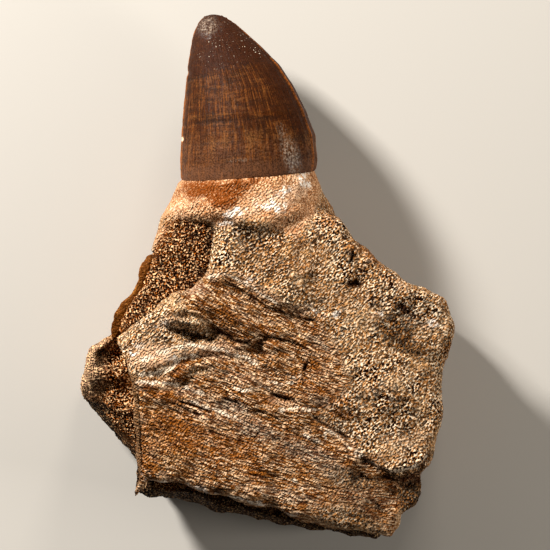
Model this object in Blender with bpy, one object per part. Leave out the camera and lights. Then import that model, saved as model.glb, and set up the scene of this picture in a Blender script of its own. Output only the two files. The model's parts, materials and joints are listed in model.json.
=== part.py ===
"""A fossil mosasaur tooth in a broken piece of its jaw, lying on its back.

The tooth crown points along +Y and the better side of the fossil faces +Z. The jaw bone, with the swollen
root on top of it, is bedded in the sandy rock that buried it, and a splinter of the far wall of the tooth's
socket stands up out of the sand on the left. The rock is ground flat at Z = 0, where the fossil rests.

All sizes below are in millimetres, and MM turns them into Blender's metres.
"""

import math

import bmesh
import bpy
import numpy as np
from mathutils import Matrix, Vector, noise

MM = 0.001

# ---- driving dimensions -------------------------------------------------------------------------------
GAP = 0.35  # clearance between pieces that lie against each other
BED_Z = 18.0  # the level at which the bone plate lies in the rock
PLATE_Z = 33.0  # the level of the bone's better face
ROOT_Z = 19.0  # the height of the tooth's own middle line

# The tooth crown: (height along Y, left edge, right edge, half depth) from its base to near its tip.
CROWN_RINGS = (
    (24.9, -21.3, 12.0, 15.2),
    (29.5, -21.5, 12.35, 15.0),
    (35.0, -21.3, 11.7, 14.2),
    (41.0, -20.8, 9.6, 12.9),
    (47.0, -20.3, 6.7, 11.2),
    (52.5, -19.8, 3.1, 9.3),
    (57.0, -19.1, -1.3, 7.2),
    (60.5, -18.5, -5.1, 5.2),
    (63.2, -17.4, -8.3, 3.2),
    (65.0, -15.9, -11.1, 1.5),
)
CROWN_TIP = (65.7, -13.6)
CROWN_SIDES = 44
CROWN_LEAN_BACK = 4.0  # how far the tip drops below the middle line
CARINA_HEIGHT = 0.45  # the two cutting edges
CARINA_WIDTH = math.radians(7)
CARINAE = (math.radians(180), math.radians(28))
CROWN_BASE_TILT = 0.075  # the base line climbs to the right by this slope
CROWN_BASE_SAG = 0.07  # and is this much lower towards the better face

# The root: rings down from under the crown into the rock, (height, left, right, half depth).
ROOT_RINGS = (
    (26.5, -21.0, 11.7, 14.9),
    (23.5, -21.9, 12.5, 15.6),
    (20.0, -23.4, 14.3, 16.4),
    (16.5, -25.1, 16.2, 17.0),
    (14.2, -25.6, 17.7, 16.8),
    (11.5, -18.6, 18.6, 15.0),
    (4.0, -15.0, 19.0, 13.0),
    (-6.0, -12.5, 16.0, 11.0),
)
ROOT_SIDES = 40

# The edge of the bone plate, clockwise from the foot of the root on the right.
PLATE_EDGE = (
    (8.0, 16.0), (17.4, 14.6), (18.9, 12.2), (20.2, 10.0), (24.8, 6.4), (29.0, 2.4), (34.4, -1.9),
    (40.0, -4.0), (43.4, -6.0), (45.4, -9.8), (47.2, -12.6), (45.6, -18.0), (43.9, -23.0),
    (42.9, -30.0), (43.5, -34.5), (42.8, -38.4), (40.9, -42.0), (40.3, -46.4), (38.1, -49.5),
    (38.3, -54.6), (35.8, -57.6), (33.0, -59.6), (31.4, -63.2), (30.1, -65.5), (24.5, -64.0),
    (17.5, -63.3), (9.0, -61.2), (4.8, -59.2), (-2.2, -57.4), (-9.0, -55.3), (-15.5, -54.0),
    (-24.0, -51.8), (-30.8, -51.2), (-33.0, -51.4), (-33.4, -31.0), (-34.0, -25.0), (-35.2, -20.6),
    (-37.4, -16.0), (-31.5, -11.2), (-26.5, -7.6), (-23.6, -4.6), (-18.8, -2.6), (-15.0, 1.2),
    (-13.8, 6.0), (-13.2, 12.0), (-14.0, 16.0),
)

# The edge of the rock that holds the plate, also clockwise. Its foot reaches past the bone.
ROCK_EDGE = (
    (12.0, 13.0), (18.5, 9.5), (23.5, 5.6), (33.4, -3.2), (42.0, -6.8), (45.2, -12.6), (43.6, -19.0),
    (41.9, -30.0), (42.6, -35.0), (39.8, -43.0), (37.4, -50.0), (36.6, -56.0), (31.0, -62.4),
    (27.5, -65.5), (17.0, -65.3), (4.0, -62.4), (-9.0, -58.6), (-22.0, -55.6), (-33.0, -54.2),
    (-34.0, -48.5), (-38.6, -42.4), (-42.2, -36.2), (-45.7, -31.2), (-46.0, -22.4), (-45.0, -18.6),
    (-41.4, -15.6), (-38.4, -12.4), (-36.4, -8.0), (-32.4, -4.0), (-30.4, 2.2), (-28.0, 6.2),
    (-25.6, 11.0), (-22.0, 14.6), (-8.0, 14.6),
)
ROCK_BACK_DRAFT = 3.4  # how far the rock draws in at its back
ROCK_TOP = 23.0  # where it ends under the plate

# The splinter of the socket's far wall: (x, y, z of its crest, thickness), down along the left flank.
SPLINTER_LINE = (
    (-30.2, 5.4, 23.6, 1.4),
    (-31.7, 3.4, 25.6, 2.7),
    (-32.2, 1.2, 26.0, 2.6),
    (-32.4, -1.0, 25.6, 1.7),
    (-33.0, -3.0, 25.0, 1.7),
    (-34.9, -4.9, 24.6, 2.4),
    (-37.1, -7.0, 24.0, 3.3),
    (-38.5, -9.3, 23.4, 3.5),
    (-39.5, -11.8, 22.4, 3.4),
    (-39.9, -14.2, 21.2, 2.6),
    (-39.8, -16.6, 19.8, 1.4),
)
SPLINTER_DEPTH = 9.0  # how far it reaches down into the sand

# The tongue of the root that runs down the left flank, and the heights between which it stands.
TONGUE = (
    (-21.0, 15.4), (-23.6, 12.8), (-25.6, 9.8), (-27.0, 7.4), (-28.8, 5.4),
    (-29.6, 6.0), (-28.4, 8.0), (-27.6, 10.2), (-26.6, 12.4), (-25.6, 15.4),
)
TONGUE_Z = (14.0, 25.5)

# The thin spur of cortical bone that hangs from the plate's lower left corner.
SPUR = ((-34.1, -24.5), (-33.1, -24.5), (-32.7, -51.0), (-33.2, -53.5), (-33.9, -57.6), (-34.3, -54.0))
SPUR_Z = (24.0, 32.4)

# ---- how finely each piece is modelled ----------------------------------------------------------------
CLAY_VOXEL = 0.8
BONE_FACES = 5000
ROCK_FACES = 2900
SPLINTER_FACES = 260
SEEN_SHARE = 0.5  # how much more finely the upper side of a piece is kept than its hidden side


# ---- land forms ---------------------------------------------------------------------------------------
# Each changes the height of points of a face. A path runs along the form; the ends fade out.
def smooth(t):
    """0 to 1 with soft ends, as t goes from 0 to 1."""
    t = np.clip(t, 0.0, 1.0)
    return t * t * (3.0 - 2.0 * t)


def along(points, path, fade):
    """For each point: its distance right of the path (left is negative), and 1 beside it, 0 past its ends."""
    path = np.asarray(path, float)
    starts, steps = path[:-1], np.diff(path, axis=0)
    lengths = np.hypot(steps[:, 0], steps[:, 1])
    before = np.concatenate([[0.0], np.cumsum(lengths)])
    offset = points[:, None, :] - starts[None]
    share = np.clip((offset * steps).sum(2) / lengths**2, 0.0, 1.0)
    away = offset - share[..., None] * steps
    distance = np.hypot(away[..., 0], away[..., 1])
    nearest = distance.argmin(1)
    row = np.arange(len(points))
    across = offset[row, nearest, 0] * steps[nearest, 1] - offset[row, nearest, 1] * steps[nearest, 0]
    travelled = before[nearest] + share[row, nearest] * lengths[nearest]
    ends = smooth(travelled / fade) * smooth((before[-1] - travelled) / fade)
    return distance[row, nearest] * np.sign(across), ends


def scarp(points, path, drop, reach, lip=0.7, fade=3.0):
    """A ledge: right of the path the ground falls by drop at once, and climbs back over reach."""
    side, ends = along(points, path, fade)
    below = smooth(side / lip + 0.5) * (1.0 - smooth((side - lip) / reach))
    return -drop * below * ends


def ridge(points, path, width, height, fade=4.0):
    """A rounded crest, or a furrow if height is negative."""
    side, ends = along(points, path, fade)
    return height * np.exp(-((side / width) ** 2)) * ends


def dome(points, centre, radii, turn, height):
    """A rounded swelling, or a hollow if height is negative. turn is in degrees."""
    c, s = math.cos(math.radians(turn)), math.sin(math.radians(turn))
    x, y = (points - np.asarray(centre)).T
    reach = np.hypot((c * x + s * y) / radii[0], (c * y - s * x) / radii[1])
    return height * (1.0 - smooth(reach))


BONE_FORMS = (
    # the rolled lip where the swollen root ends and the bone below it has weathered back
    (scarp, ((-26.5, 14.6), (-14.0, 14.6), (-8.5, 13.4), (-5.0, 11.4), (-1.8, 10.6), (1.6, 11.6),
             (5.0, 14.2), (9.5, 15.4), (13.5, 15.2), (18.5, 11.6)), 1.1, 5.0, 1.0),
    (dome, (-4.0, 12.6), (5.5, 4.0), 0, 0.7),
    (dome, (3.0, 3.0), (17.0, 17.0), -30, 2.0),
    # the stained hollow close under the crown, on the left
    (dome, (-13.0, 21.0), (9.5, 3.4), -2, -0.9),
    # the upper split in the bone and the rusty ridge below it
    (scarp, ((-14.3, -0.9), (-8.2, -3.5), (-2.4, -6.4), (0.7, -8.2), (5.2, -9.7), (12.6, -11.8)), 1.1, 4.0),
    (ridge, ((-21.0, -5.4), (-13.2, -8.4), (-5.7, -12.5), (-1.0, -14.6)), 2.8, 1.3),
    # the deep shadowed step below the ridge, and the bright shelf that rises from it
    (scarp, ((-22.5, -7.4), (-17.8, -10.2), (-14.0, -12.5), (-7.8, -16.0), (-3.5, -16.6), (1.0, -15.2)),
     2.6, 6.5, 1.3),
    (dome, (-20.2, -14.2), (6.5, 2.8), -18, -1.3),
    (ridge, ((-33.0, -22.6), (-27.0, -22.0), (-21.0, -18.6), (-15.0, -17.4), (-7.0, -19.2)), 1.6, 0.7),
    # the main ledge: below it lies the broad fibrous face
    (scarp, ((-34.0, -25.8), (-24.8, -24.8), (-22.4, -22.8), (-19.0, -20.3), (-15.5, -19.0), (-10.0, -19.8),
             (-4.8, -21.0), (-2.4, -22.0), (2.0, -24.0), (5.0, -25.4)), 1.3, 6.0),
    (scarp, ((-2.4, -15.1), (1.5, -15.1), (6.5, -16.6), (10.7, -18.5)), 0.8, 3.0),
    # the broken layer half way down and the slanting groove that runs on to the right
    (scarp, ((-1.0, -27.6), (2.4, -29.8), (6.8, -30.8), (8.0, -30.4)), 0.8, 2.0),
    (ridge, ((10.5, -34.6), (15.5, -37.8), (20.5, -41.0), (25.0, -45.8), (28.5, -48.0)), 0.9, -0.8),
    # the fold at the lower right, with a dark recess under it
    (scarp, ((22.0, -45.6), (27.5, -48.6), (31.6, -50.8), (35.5, -50.0), (39.5, -47.4), (41.5, -45.6)),
     2.8, 9.0, 1.2),
    (dome, (33.0, -55.0), (8.0, 4.5), 10, -1.2),
    # the weathered spongy bone on the right: a stained hollow, a swelling and the worn shoulder
    (dome, (29.5, -12.5), (9.0, 6.5), -25, -1.3),
    (dome, (22.0, -30.0), (16.0, 14.0), 20, 1.2),
    (dome, (27.0, -8.8), (4.0, 1.6), -35, -1.0),
    (ridge, ((26.0, 2.0), (22.0, -1.6), (20.6, -5.4)), 1.1, -0.7),
    # the broad face is very slightly hollow, and falls away at its upper left, its right and its foot
    (dome, (-14.0, -38.0), (20.0, 11.0), -14, -0.9),
    (dome, (-41.0, -15.0), (13.0, 10.0), 20, -4.6),
    (dome, (47.0, -30.0), (20.0, 34.0), 0, -2.6),
    (dome, (10.0, -68.0), (40.0, 12.0), -14, -1.6),
)

ROCK_FORMS = (
    # the sand heaped in the socket, left of the plate and under the root, with pockets worn beside the bone
    (dome, (-20.0, 4.0), (15.0, 15.0), 0, 6.8),
    (dome, (-29.0, -6.0), (8.0, 8.0), 30, 2.4),
    (ridge, ((-29.0, 7.0), (-30.6, 0.0), (-32.0, -4.6), (-35.6, -8.0), (-37.2, -12.0), (-38.4, -17.0)),
     2.4, -2.6),
    (dome, (-17.5, 10.6), (8.0, 4.0), 0, -1.8),
    (dome, (-16.0, 0.0), (3.0, 6.0), 15, -1.2),
    (dome, (-24.0, -4.6), (9.0, 3.0), 35, -1.8),
    # the pale lump at the far left, and the hollow with a raised lower rim that lies inside it
    (dome, (-43.6, -18.0), (6.0, 11.0), 15, 2.2),
    (dome, (-38.0, -19.6), (4.6, 5.6), -20, -3.6),
    (ridge, ((-41.2, -22.4), (-40.0, -25.0), (-37.6, -26.6), (-34.6, -26.4)), 1.0, 0.9),
    # the shoulder that falls away below them
    (ridge, ((-49.0, -29.0), (-45.0, -34.0), (-42.0, -38.0), (-38.5, -43.4), (-33.6, -50.0)), 4.4, -11.5),
    (dome, (-38.0, -33.5), (4.0, 8.0), 10, 1.6),
)


# ---- Blender helpers ----------------------------------------------------------------------------------
def clear_scene():
    for obj in list(bpy.data.objects):
        bpy.data.objects.remove(obj)


def face_outward(bm):
    bmesh.ops.recalc_face_normals(bm, faces=bm.faces)
    if bm.calc_volume(signed=True) < 0:
        bmesh.ops.reverse_faces(bm, faces=bm.faces)


def mesh_object(name, bm):
    """A new object from a bmesh whose points are in millimetres."""
    face_outward(bm)
    bm.transform(Matrix.Scale(MM, 4))
    mesh = bpy.data.meshes.new(name)
    bm.to_mesh(mesh)
    bm.free()
    obj = bpy.data.objects.new(name, mesh)
    bpy.context.scene.collection.objects.link(obj)
    return obj


def lofted(name, rings):
    """A closed form through rings of points, every ring with the same number of points."""
    bm = bmesh.new()
    loops = [[bm.verts.new(point) for point in ring] for ring in rings]
    for low, high in zip(loops, loops[1:]):
        for i in range(len(low)):
            j = (i + 1) % len(low)
            bm.faces.new((low[i], low[j], high[j], high[i]))
    for ring in (loops[0], loops[-1]):
        bm.faces.new(ring)
    return mesh_object(name, bm)


def drawn_in(outline, by):
    """The clockwise outline with each corner moved towards its inside by that distance."""
    points = [Vector(p) for p in outline]
    moved = []
    for i, point in enumerate(points):
        before = (point - points[i - 1]).normalized()
        after = (points[(i + 1) % len(points)] - point).normalized()
        inward = (Vector((before.y, -before.x)) + Vector((after.y, -after.x))).normalized()
        moved.append(point + inward * by)
    return moved


def block(name, outline, levels):
    """A slab with that outline, through levels of (height, how far its edge is drawn in there)."""
    rings = []
    for height, by in levels:
        rings.append([(p.x, p.y, height) for p in drawn_in(outline, by)])
    return lofted(name, rings)


def applied(obj):
    """The object with its modifiers worked into its mesh."""
    graph = bpy.context.evaluated_depsgraph_get()
    mesh = bpy.data.meshes.new_from_object(obj.evaluated_get(graph))
    obj.modifiers.clear()
    obj.data = mesh
    return obj


def rub_down(obj):
    """Takes the steps off a surface."""
    rub = obj.modifiers.new("rub down", "SMOOTH")
    rub.factor = 0.5
    rub.iterations = 2
    return applied(obj)


def clay(name, lumps):
    """Overlapping lumps pressed into one closed body with an even skin."""
    bm = bmesh.new()
    for lump in lumps:
        bm.from_mesh(lump.data)
        bpy.data.objects.remove(lump)
    bm.transform(Matrix.Scale(1.0 / MM, 4))
    body = mesh_object(name, bm)
    skin = body.modifiers.new("one skin", "REMESH")
    skin.mode = "VOXEL"
    skin.voxel_size = CLAY_VOXEL * MM
    return rub_down(body)


def points_of(obj):
    points = np.empty(len(obj.data.vertices) * 3)
    obj.data.vertices.foreach_get("co", points)
    return points.reshape(-1, 3) / MM


def move_points(obj, points):
    obj.data.vertices.foreach_set("co", (points * MM).ravel())
    obj.data.update()


def weather(obj, size, depth, seed):
    """Breaks the surface into soft lumps of that size, in millimetres."""
    points = points_of(obj)
    normals = np.array([v.normal for v in obj.data.vertices])
    shift = Vector((seed, seed * 0.7, -seed))
    lift = [noise.noise(Vector(p) / size + shift) for p in points]
    move_points(obj, points + normals * np.array(lift)[:, None] * depth)


def shape_face(obj, forms, low, high):
    """Works the land forms into the upper face; points below low stay, points above high move fully."""
    points = points_of(obj)
    flat = points[:, :2]
    change = sum(form(flat, *sizes) for form, *sizes in forms)
    points[:, 2] += change * smooth((points[:, 2] - low) / (high - low))
    move_points(obj, points)


def cut_flat(obj, point, normal):
    """Cuts off what lies beyond a plane, in millimetres, and closes the cut with one flat face."""
    bm = bmesh.new()
    bm.from_mesh(obj.data)
    whole = bm.verts[:] + bm.edges[:] + bm.faces[:]
    cut = bmesh.ops.bisect_plane(bm, geom=whole, plane_co=Vector(point) * MM, plane_no=normal, clear_outer=True)
    rim = [e for e in cut["geom_cut"] if isinstance(e, bmesh.types.BMEdge)]
    bmesh.ops.contextual_create(bm, geom=rim)
    bmesh.ops.triangulate(bm, faces=[f for f in bm.faces if len(f.verts) > 4])
    face_outward(bm)
    bm.to_mesh(obj.data)
    bm.free()


def thin_out(obj, faces, seen_above):
    """Keeps about that many triangles, most of them where the shape bends and above that height."""
    height = points_of(obj)[:, 2]
    group = obj.vertex_groups.new(name="out of sight")
    for index, share in enumerate(1.0 - SEEN_SHARE * smooth((height - seen_above) / 2.0)):
        group.add([index], share, "REPLACE")
    now = sum(len(p.vertices) - 2 for p in obj.data.polygons)
    fewer = obj.modifiers.new("thin out", "DECIMATE")
    fewer.vertex_group = group.name
    fewer.ratio = min(1.0, faces / now)
    fewer.use_collapse_triangulate = True
    return applied(obj)


def finish(obj, colour, roughness):
    """A Principled material of that colour, and smooth shading with crisp breaks."""
    material = bpy.data.materials.new(obj.name)
    material.use_nodes = True
    surface = material.node_tree.nodes["Principled BSDF"]
    surface.inputs["Base Color"].default_value = (*colour, 1.0)
    surface.inputs["Roughness"].default_value = roughness
    surface.inputs["Metallic"].default_value = 0.0
    obj.data.materials.clear()
    obj.data.materials.append(material)
    obj.data.shade_smooth()
    obj.data.set_sharp_from_angle(angle=math.radians(40))
    return obj


# ---- the pieces ---------------------------------------------------------------------------------------
def oval(height, left, right, half_depth, sides, middle_z, rise=0.0, sag=0.0, carina=0.0):
    """A ring round the tooth at that height along Y, with its two cutting edges."""
    middle, half_width = (left + right) / 2, (right - left) / 2
    ring = []
    for i in range(sides):
        angle = 2 * math.pi * i / sides
        swell = 1.0
        for edge in CARINAE:
            turn = (angle - edge + math.pi) % (2 * math.pi) - math.pi
            swell += carina / half_width * math.exp(-((turn / CARINA_WIDTH) ** 2))
        x, z = half_width * swell * math.cos(angle), half_depth * swell * math.sin(angle)
        ring.append((middle + x, height + rise * x - sag * z, middle_z + z))
    return ring


def base_plane(above):
    """The plane between crown and root, moved up the tooth by that much: a point and the normal."""
    height, left, right, _ = CROWN_RINGS[0]
    normal = Vector((-CROWN_BASE_TILT, 1.0, CROWN_BASE_SAG)).normalized()
    return Vector(((left + right) / 2, height, ROOT_Z)) + normal * above, normal


def build_crown():
    """The crown: a blunt cone with a straight left edge and a bowed right one, and two cutting edges."""
    base, tip = CROWN_RINGS[0][0], CROWN_TIP[0]
    rings = []
    for height, left, right, half_depth in CROWN_RINGS:
        share = (height - base) / (tip - base)
        near_base = (1.0 - smooth(share * 2.5)).item()
        rings.append(
            oval(height, left, right, half_depth, CROWN_SIDES, ROOT_Z - CROWN_LEAN_BACK * share**2,
                 CROWN_BASE_TILT * near_base, CROWN_BASE_SAG * near_base, CARINA_HEIGHT * (1.0 - share * 0.5))
        )
    tip_z = ROOT_Z - CROWN_LEAN_BACK
    bm = bmesh.new()
    loops = [[bm.verts.new(point) for point in ring] for ring in rings]
    for low, high in zip(loops, loops[1:]):
        for i in range(CROWN_SIDES):
            j = (i + 1) % CROWN_SIDES
            bm.faces.new((low[i], low[j], high[j], high[i]))
    point = bm.verts.new((CROWN_TIP[1], CROWN_TIP[0], tip_z))
    for i in range(CROWN_SIDES):
        bm.faces.new((loops[-1][i], loops[-1][(i + 1) % CROWN_SIDES], point))
    bm.faces.new(loops[0])
    crown = mesh_object("tooth_crown", bm)
    return finish(crown, (0.13, 0.055, 0.022), 0.3)


def build_bone():
    """The jaw bone: a plate with the swollen root grown on top of it, broken off all round."""
    plate = block("plate", PLATE_EDGE, ((BED_Z + 1.0, 3.0), (BED_Z + 4.0, 0.6), (PLATE_Z - 6.0, 0.0),
                                        (PLATE_Z - 1.6, 0.2), (PLATE_Z, 1.6)))
    root = lofted("root", [oval(*ring, ROOT_SIDES, ROOT_Z) for ring in ROOT_RINGS])
    spur = lofted("spur", [[(x, y, z) for x, y in SPUR] for z in SPUR_Z])
    tongue = lofted("tongue", [[(x, y, z) for x, y in TONGUE] for z in TONGUE_Z])
    bone = clay("jaw_bone", (plate, root, spur, tongue))
    weather(bone, 9.0, 1.1, 3.0)
    weather(bone, 3.6, 0.7, 8.0)
    shape_face(bone, BONE_FORMS, BED_Z + 4.0, PLATE_Z - 3.0)
    rub_down(bone)
    cut_flat(bone, *base_plane(-GAP))
    thin_out(bone, BONE_FACES, BED_Z + 2.0)
    return finish(bone, (0.42, 0.27, 0.15), 0.85)


def build_splinter():
    """A thin curved leaf of bone, the far wall of the socket, on edge in the sand."""
    inner, outer, inner_foot, outer_foot = [], [], [], []
    for x, y, z, thickness in SPLINTER_LINE:
        outer.append((x, y, z))
        inner.append((x + thickness, y - 0.2 * thickness, z + 0.5))
        outer_foot.append((x + 2.6, y, z - SPLINTER_DEPTH))
        inner_foot.append((x + 2.6 + thickness, y, z - SPLINTER_DEPTH))
    rings = [list(section) for section in zip(outer, inner, inner_foot, outer_foot)]
    splinter = clay("socket_splinter", [lofted("leaf", rings)])
    weather(splinter, 4.0, 0.5, 5.0)
    thin_out(splinter, SPLINTER_FACES, BED_Z - 4.0)
    return finish(splinter, (0.25, 0.11, 0.03), 0.5)


def swollen(obj):
    """A hidden copy of a piece, larger by the clearance all round, to cut its bed in the rock."""
    cutter = obj.copy()
    cutter.data = obj.data.copy()
    cutter.name = obj.name + "_bed"
    bpy.context.scene.collection.objects.link(cutter)
    swell = cutter.modifiers.new("clearance", "DISPLACE")
    swell.mid_level = 0.0
    swell.strength = GAP * 1.5 * MM
    applied(cutter)
    cutter.hide_render = True
    cutter.display_type = "WIRE"
    return cutter


def build_rock(bedded):
    """The sandy rock behind and beside the bone, with a bed cut in it for every piece that it holds."""
    slab = block("slab", ROCK_EDGE, ((-2.0, ROCK_BACK_DRAFT + 2.6), (1.5, ROCK_BACK_DRAFT), (7.0, 0.6),
                                     (13.0, 0.0), (ROCK_TOP - 2.0, 0.5), (ROCK_TOP, 1.6)))
    rock = clay("sand_rock", [slab])
    weather(rock, 11.0, 2.0, 1.0)
    weather(rock, 4.5, 1.1, 6.0)
    shape_face(rock, ROCK_FORMS, ROCK_TOP - 16.0, ROCK_TOP - 3.0)
    rub_down(rock)
    thin_out(rock, ROCK_FACES, 3.0)
    cut_flat(rock, (0.0, 0.0, 0.0), (0.0, 0.0, -1.0))
    for piece in bedded:
        bed = rock.modifiers.new("bed of " + piece.name, "BOOLEAN")
        bed.operation = "DIFFERENCE"
        bed.object = swollen(piece)
    return finish(rock, (0.33, 0.19, 0.09), 0.9)


def main():
    clear_scene()
    build_crown()
    bone = build_bone()
    splinter = build_splinter()
    build_rock((bone, splinter))


main()
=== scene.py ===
# %% [markdown]
# # A fossil mosasaur tooth
#
# This lesson dresses a plain solid model of a fossil: a mosasaur's tooth, still standing on a broken piece of
# its jaw, bedded in the sandy phosphate rock that buried it. A fossil has no manufactured surface at all, so
# almost everything you see is relief: grains, fibres, ledges and cracks between a tenth of a millimetre and a
# few millimetres. We keep the solid pieces as a fixed frame and grow a detailed skin over each one.

# %% Load the fixed frame
import itertools
import json
import math

import bpy
import numpy as np
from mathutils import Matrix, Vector
from mathutils.bvhtree import BVHTree

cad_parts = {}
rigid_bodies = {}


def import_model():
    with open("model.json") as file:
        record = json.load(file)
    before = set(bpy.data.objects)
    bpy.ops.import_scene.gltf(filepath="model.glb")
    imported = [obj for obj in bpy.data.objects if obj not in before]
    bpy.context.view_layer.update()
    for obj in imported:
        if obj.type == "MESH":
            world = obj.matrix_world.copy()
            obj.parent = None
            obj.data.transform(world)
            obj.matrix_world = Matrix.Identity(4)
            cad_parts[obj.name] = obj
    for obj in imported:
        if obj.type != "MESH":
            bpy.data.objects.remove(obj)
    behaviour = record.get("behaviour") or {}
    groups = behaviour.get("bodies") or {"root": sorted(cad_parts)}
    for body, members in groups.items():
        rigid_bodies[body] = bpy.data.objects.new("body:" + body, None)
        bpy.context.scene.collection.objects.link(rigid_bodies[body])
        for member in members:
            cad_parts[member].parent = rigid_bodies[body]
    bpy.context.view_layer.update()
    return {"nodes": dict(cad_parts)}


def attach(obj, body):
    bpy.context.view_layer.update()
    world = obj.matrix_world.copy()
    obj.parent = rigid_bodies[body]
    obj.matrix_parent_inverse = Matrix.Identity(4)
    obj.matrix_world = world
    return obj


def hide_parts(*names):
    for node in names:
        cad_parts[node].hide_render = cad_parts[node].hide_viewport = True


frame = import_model()
bpy.ops.object.select_all(action="DESELECT")
MM = 0.001

# %% [markdown]
# ## Camera
#
# The fossil lies on its back, so the camera hangs above it and looks straight down, with the crown towards the
# top of the picture. It hangs more than a metre up and uses a long lens, as one does for a specimen picture:
# near and far parts of the piece then keep nearly the same scale.

# %% Hang the camera
CAMERA_UP = 1.2
PICTURE_WIDTH = 137.5 * MM
SHARP_LEVEL = 21 * MM

camera_data = bpy.data.cameras.new("specimen_camera")
camera_data.sensor_width = 36
camera_data.lens = 36 * CAMERA_UP / PICTURE_WIDTH
camera = bpy.data.objects.new("specimen_camera", camera_data)
bpy.context.scene.collection.objects.link(camera)
camera.location = (1.75 * MM, 0, SHARP_LEVEL + CAMERA_UP)
bpy.context.scene.camera = camera
print(f"lens {camera_data.lens:.0f} mm")

# %% [markdown]
# ## Light
#
# Relief only shows when light crosses it at a slant. The main lamp therefore stands fairly low beyond the
# crown and to the left, so every slope that faces it is bright and every step that faces away is dark. Weaker
# lamps beyond the tip and at the right draw thin bright edges, and a dim pale room fills the shadows. All lamps
# are large panels, which keeps the light soft. The picture is shown without a film look, so that the hex
# colours below stay true.

# %% Set up the lamps, the room and the floor
def lamp(name, place, size, watts, colour):
    """A square light panel at that place in metres, turned to the middle of the fossil."""
    data = bpy.data.lights.new(name, "AREA")
    data.shape = "SQUARE"
    data.size = size
    data.energy = watts
    data.color = colour
    panel = bpy.data.objects.new(name, data)
    panel.location = place
    panel.rotation_euler = (Vector((0, 0, 0.02)) - Vector(place)).to_track_quat("-Z", "Y").to_euler()
    bpy.context.scene.collection.objects.link(panel)


lamp("main_lamp", (-0.47, 0.46, 0.37), 0.12, 13, (1, 0.95, 0.89))
lamp("top_lamp", (0.14, 0.64, 0.3), 0.16, 2, (1, 0.92, 0.82))
lamp("right_lamp", (0.58, -0.12, 0.22), 0.16, 2, (1, 0.93, 0.84))

room = bpy.data.worlds.new("pale_room")
room.use_nodes = True
room.node_tree.nodes["Background"].inputs["Color"].default_value = (1, 0.9, 0.78, 1)
room.node_tree.nodes["Background"].inputs["Strength"].default_value = 0.055
bpy.context.scene.world = room
bpy.context.scene.view_settings.view_transform = "Standard"

bpy.ops.mesh.primitive_plane_add(size=4, location=(0, 0, -0.0001))
floor = bpy.context.object
floor.name = "studio_floor"
bpy.ops.object.select_all(action="DESELECT")

# %% [markdown]
# ## Tools for working a surface
#
# Blender keeps a mesh's points in a flat list, and numpy can read and write all of them at once. That makes it
# quick to move a hundred thousand points by a rule. First come small functions that read the points in
# millimetres, write them back, and keep a number or a place at every point for the materials to use.

# %% Read and write points
def points_of(piece):
    flat = np.empty(len(piece.data.vertices) * 3, np.float32)
    piece.data.vertices.foreach_get("co", flat)
    return flat.reshape(-1, 3).astype(float) / MM


def normals_of(piece):
    flat = np.empty(len(piece.data.vertices) * 3, np.float32)
    piece.data.vertex_normals.foreach_get("vector", flat)
    return flat.reshape(-1, 3).astype(float)


def move_points(piece, points):
    piece.data.vertices.foreach_set("co", (points * MM).astype(np.float32).ravel())
    piece.data.update()


def note(piece, name, values):
    """Keeps a number from 0 to 1 at every point, for the material to read by name."""
    layer = piece.data.attributes.new(name, "FLOAT", "POINT")
    layer.data.foreach_set("value", np.clip(values, 0, 1).astype(np.float32))


def note_way(piece, name, places):
    """Keeps a place in millimetres at every point: a pattern that follows the surface is laid out on it."""
    layer = piece.data.attributes.new(name, "FLOAT_VECTOR", "POINT")
    layer.data.foreach_set("vector", places.astype(np.float32).ravel())


def print_notes(piece):
    """Prints which values the piece keeps at its points, with their averages."""
    for layer in piece.data.attributes:
        if layer.domain == "POINT" and layer.data_type == "FLOAT":
            values = np.empty(len(layer.data), np.float32)
            layer.data.foreach_get("value", values)
            print(f"{piece.name}: {layer.name} averages {values.mean():.2f}")


print("the crown's solid has", len(points_of(frame["nodes"]["tooth_crown"])), "points")

# %% [markdown]
# Nature's randomness comes in kinds. *Lumps* swell and sink softly. They start from a fixed number for every
# cell of a grid, so the fossil comes out the same each time the lesson is run. The *seed* that each pattern
# takes only picks which one it is.

# %% Lumps
def lattice(cells, seed):
    """A fixed number from 0 to 1 for each cell, with no pattern from one cell to the next."""
    x, y, z = (cells[..., axis].astype(np.int64) for axis in range(3))
    mixed = (x * 374761393 + y * 668265263 + z * 1442695041 + seed * 974711) & 0xFFFFFFFF
    mixed = ((mixed ^ (mixed >> 13)) * 1274126177) & 0xFFFFFFFF
    return ((mixed ^ (mixed >> 16)) & 0xFFFFFF) / 0xFFFFFF


def smooth(t):
    """0 to 1 with soft ends, as t goes from 0 to 1."""
    t = np.clip(t, 0, 1)
    return t * t * (3 - 2 * t)


def lumps(points, size, seed):
    """Soft swellings about that many millimetres across, from -1 to 1."""
    place = points / size
    cell = np.floor(place).astype(int)
    share = smooth(place - cell)
    total = np.zeros(len(points))
    for corner in itertools.product((0, 1), repeat=3):
        weight = np.prod(np.where(corner, share, 1 - share), axis=1)
        total += weight * lattice(cell + corner, seed)
    return 2 * total - 1


def rough(points, size, seed, octaves=3):
    """Lumps with smaller lumps on them, from about -1 to 1."""
    total, weight = np.zeros(len(points)), 0
    for octave in range(octaves):
        turned = points @ TURN[octave]
        total += lumps(turned, size / 2**octave, seed + octave) * 0.6**octave
        weight += 0.6**octave
    return total / weight * 1.4


def turn_matrix(a, b):
    """A turn by two angles: each octave of roughness is turned its own way, so that no grid shows."""
    ca, sa, cb, sb = math.cos(a), math.sin(a), math.cos(b), math.sin(b)
    return np.array(((ca, -sa, 0), (sa, ca, 0), (0, 0, 1))) @ np.array(((cb, 0, sb), (0, 1, 0), (-sb, 0, cb)))


def straying(points, size, seed):
    """A step aside for every point, up to about 1 both ways: an edge drawn on strayed points comes out ragged."""
    return np.stack([rough(points, size, seed), rough(points, size, seed + 3)], axis=1)


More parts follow.
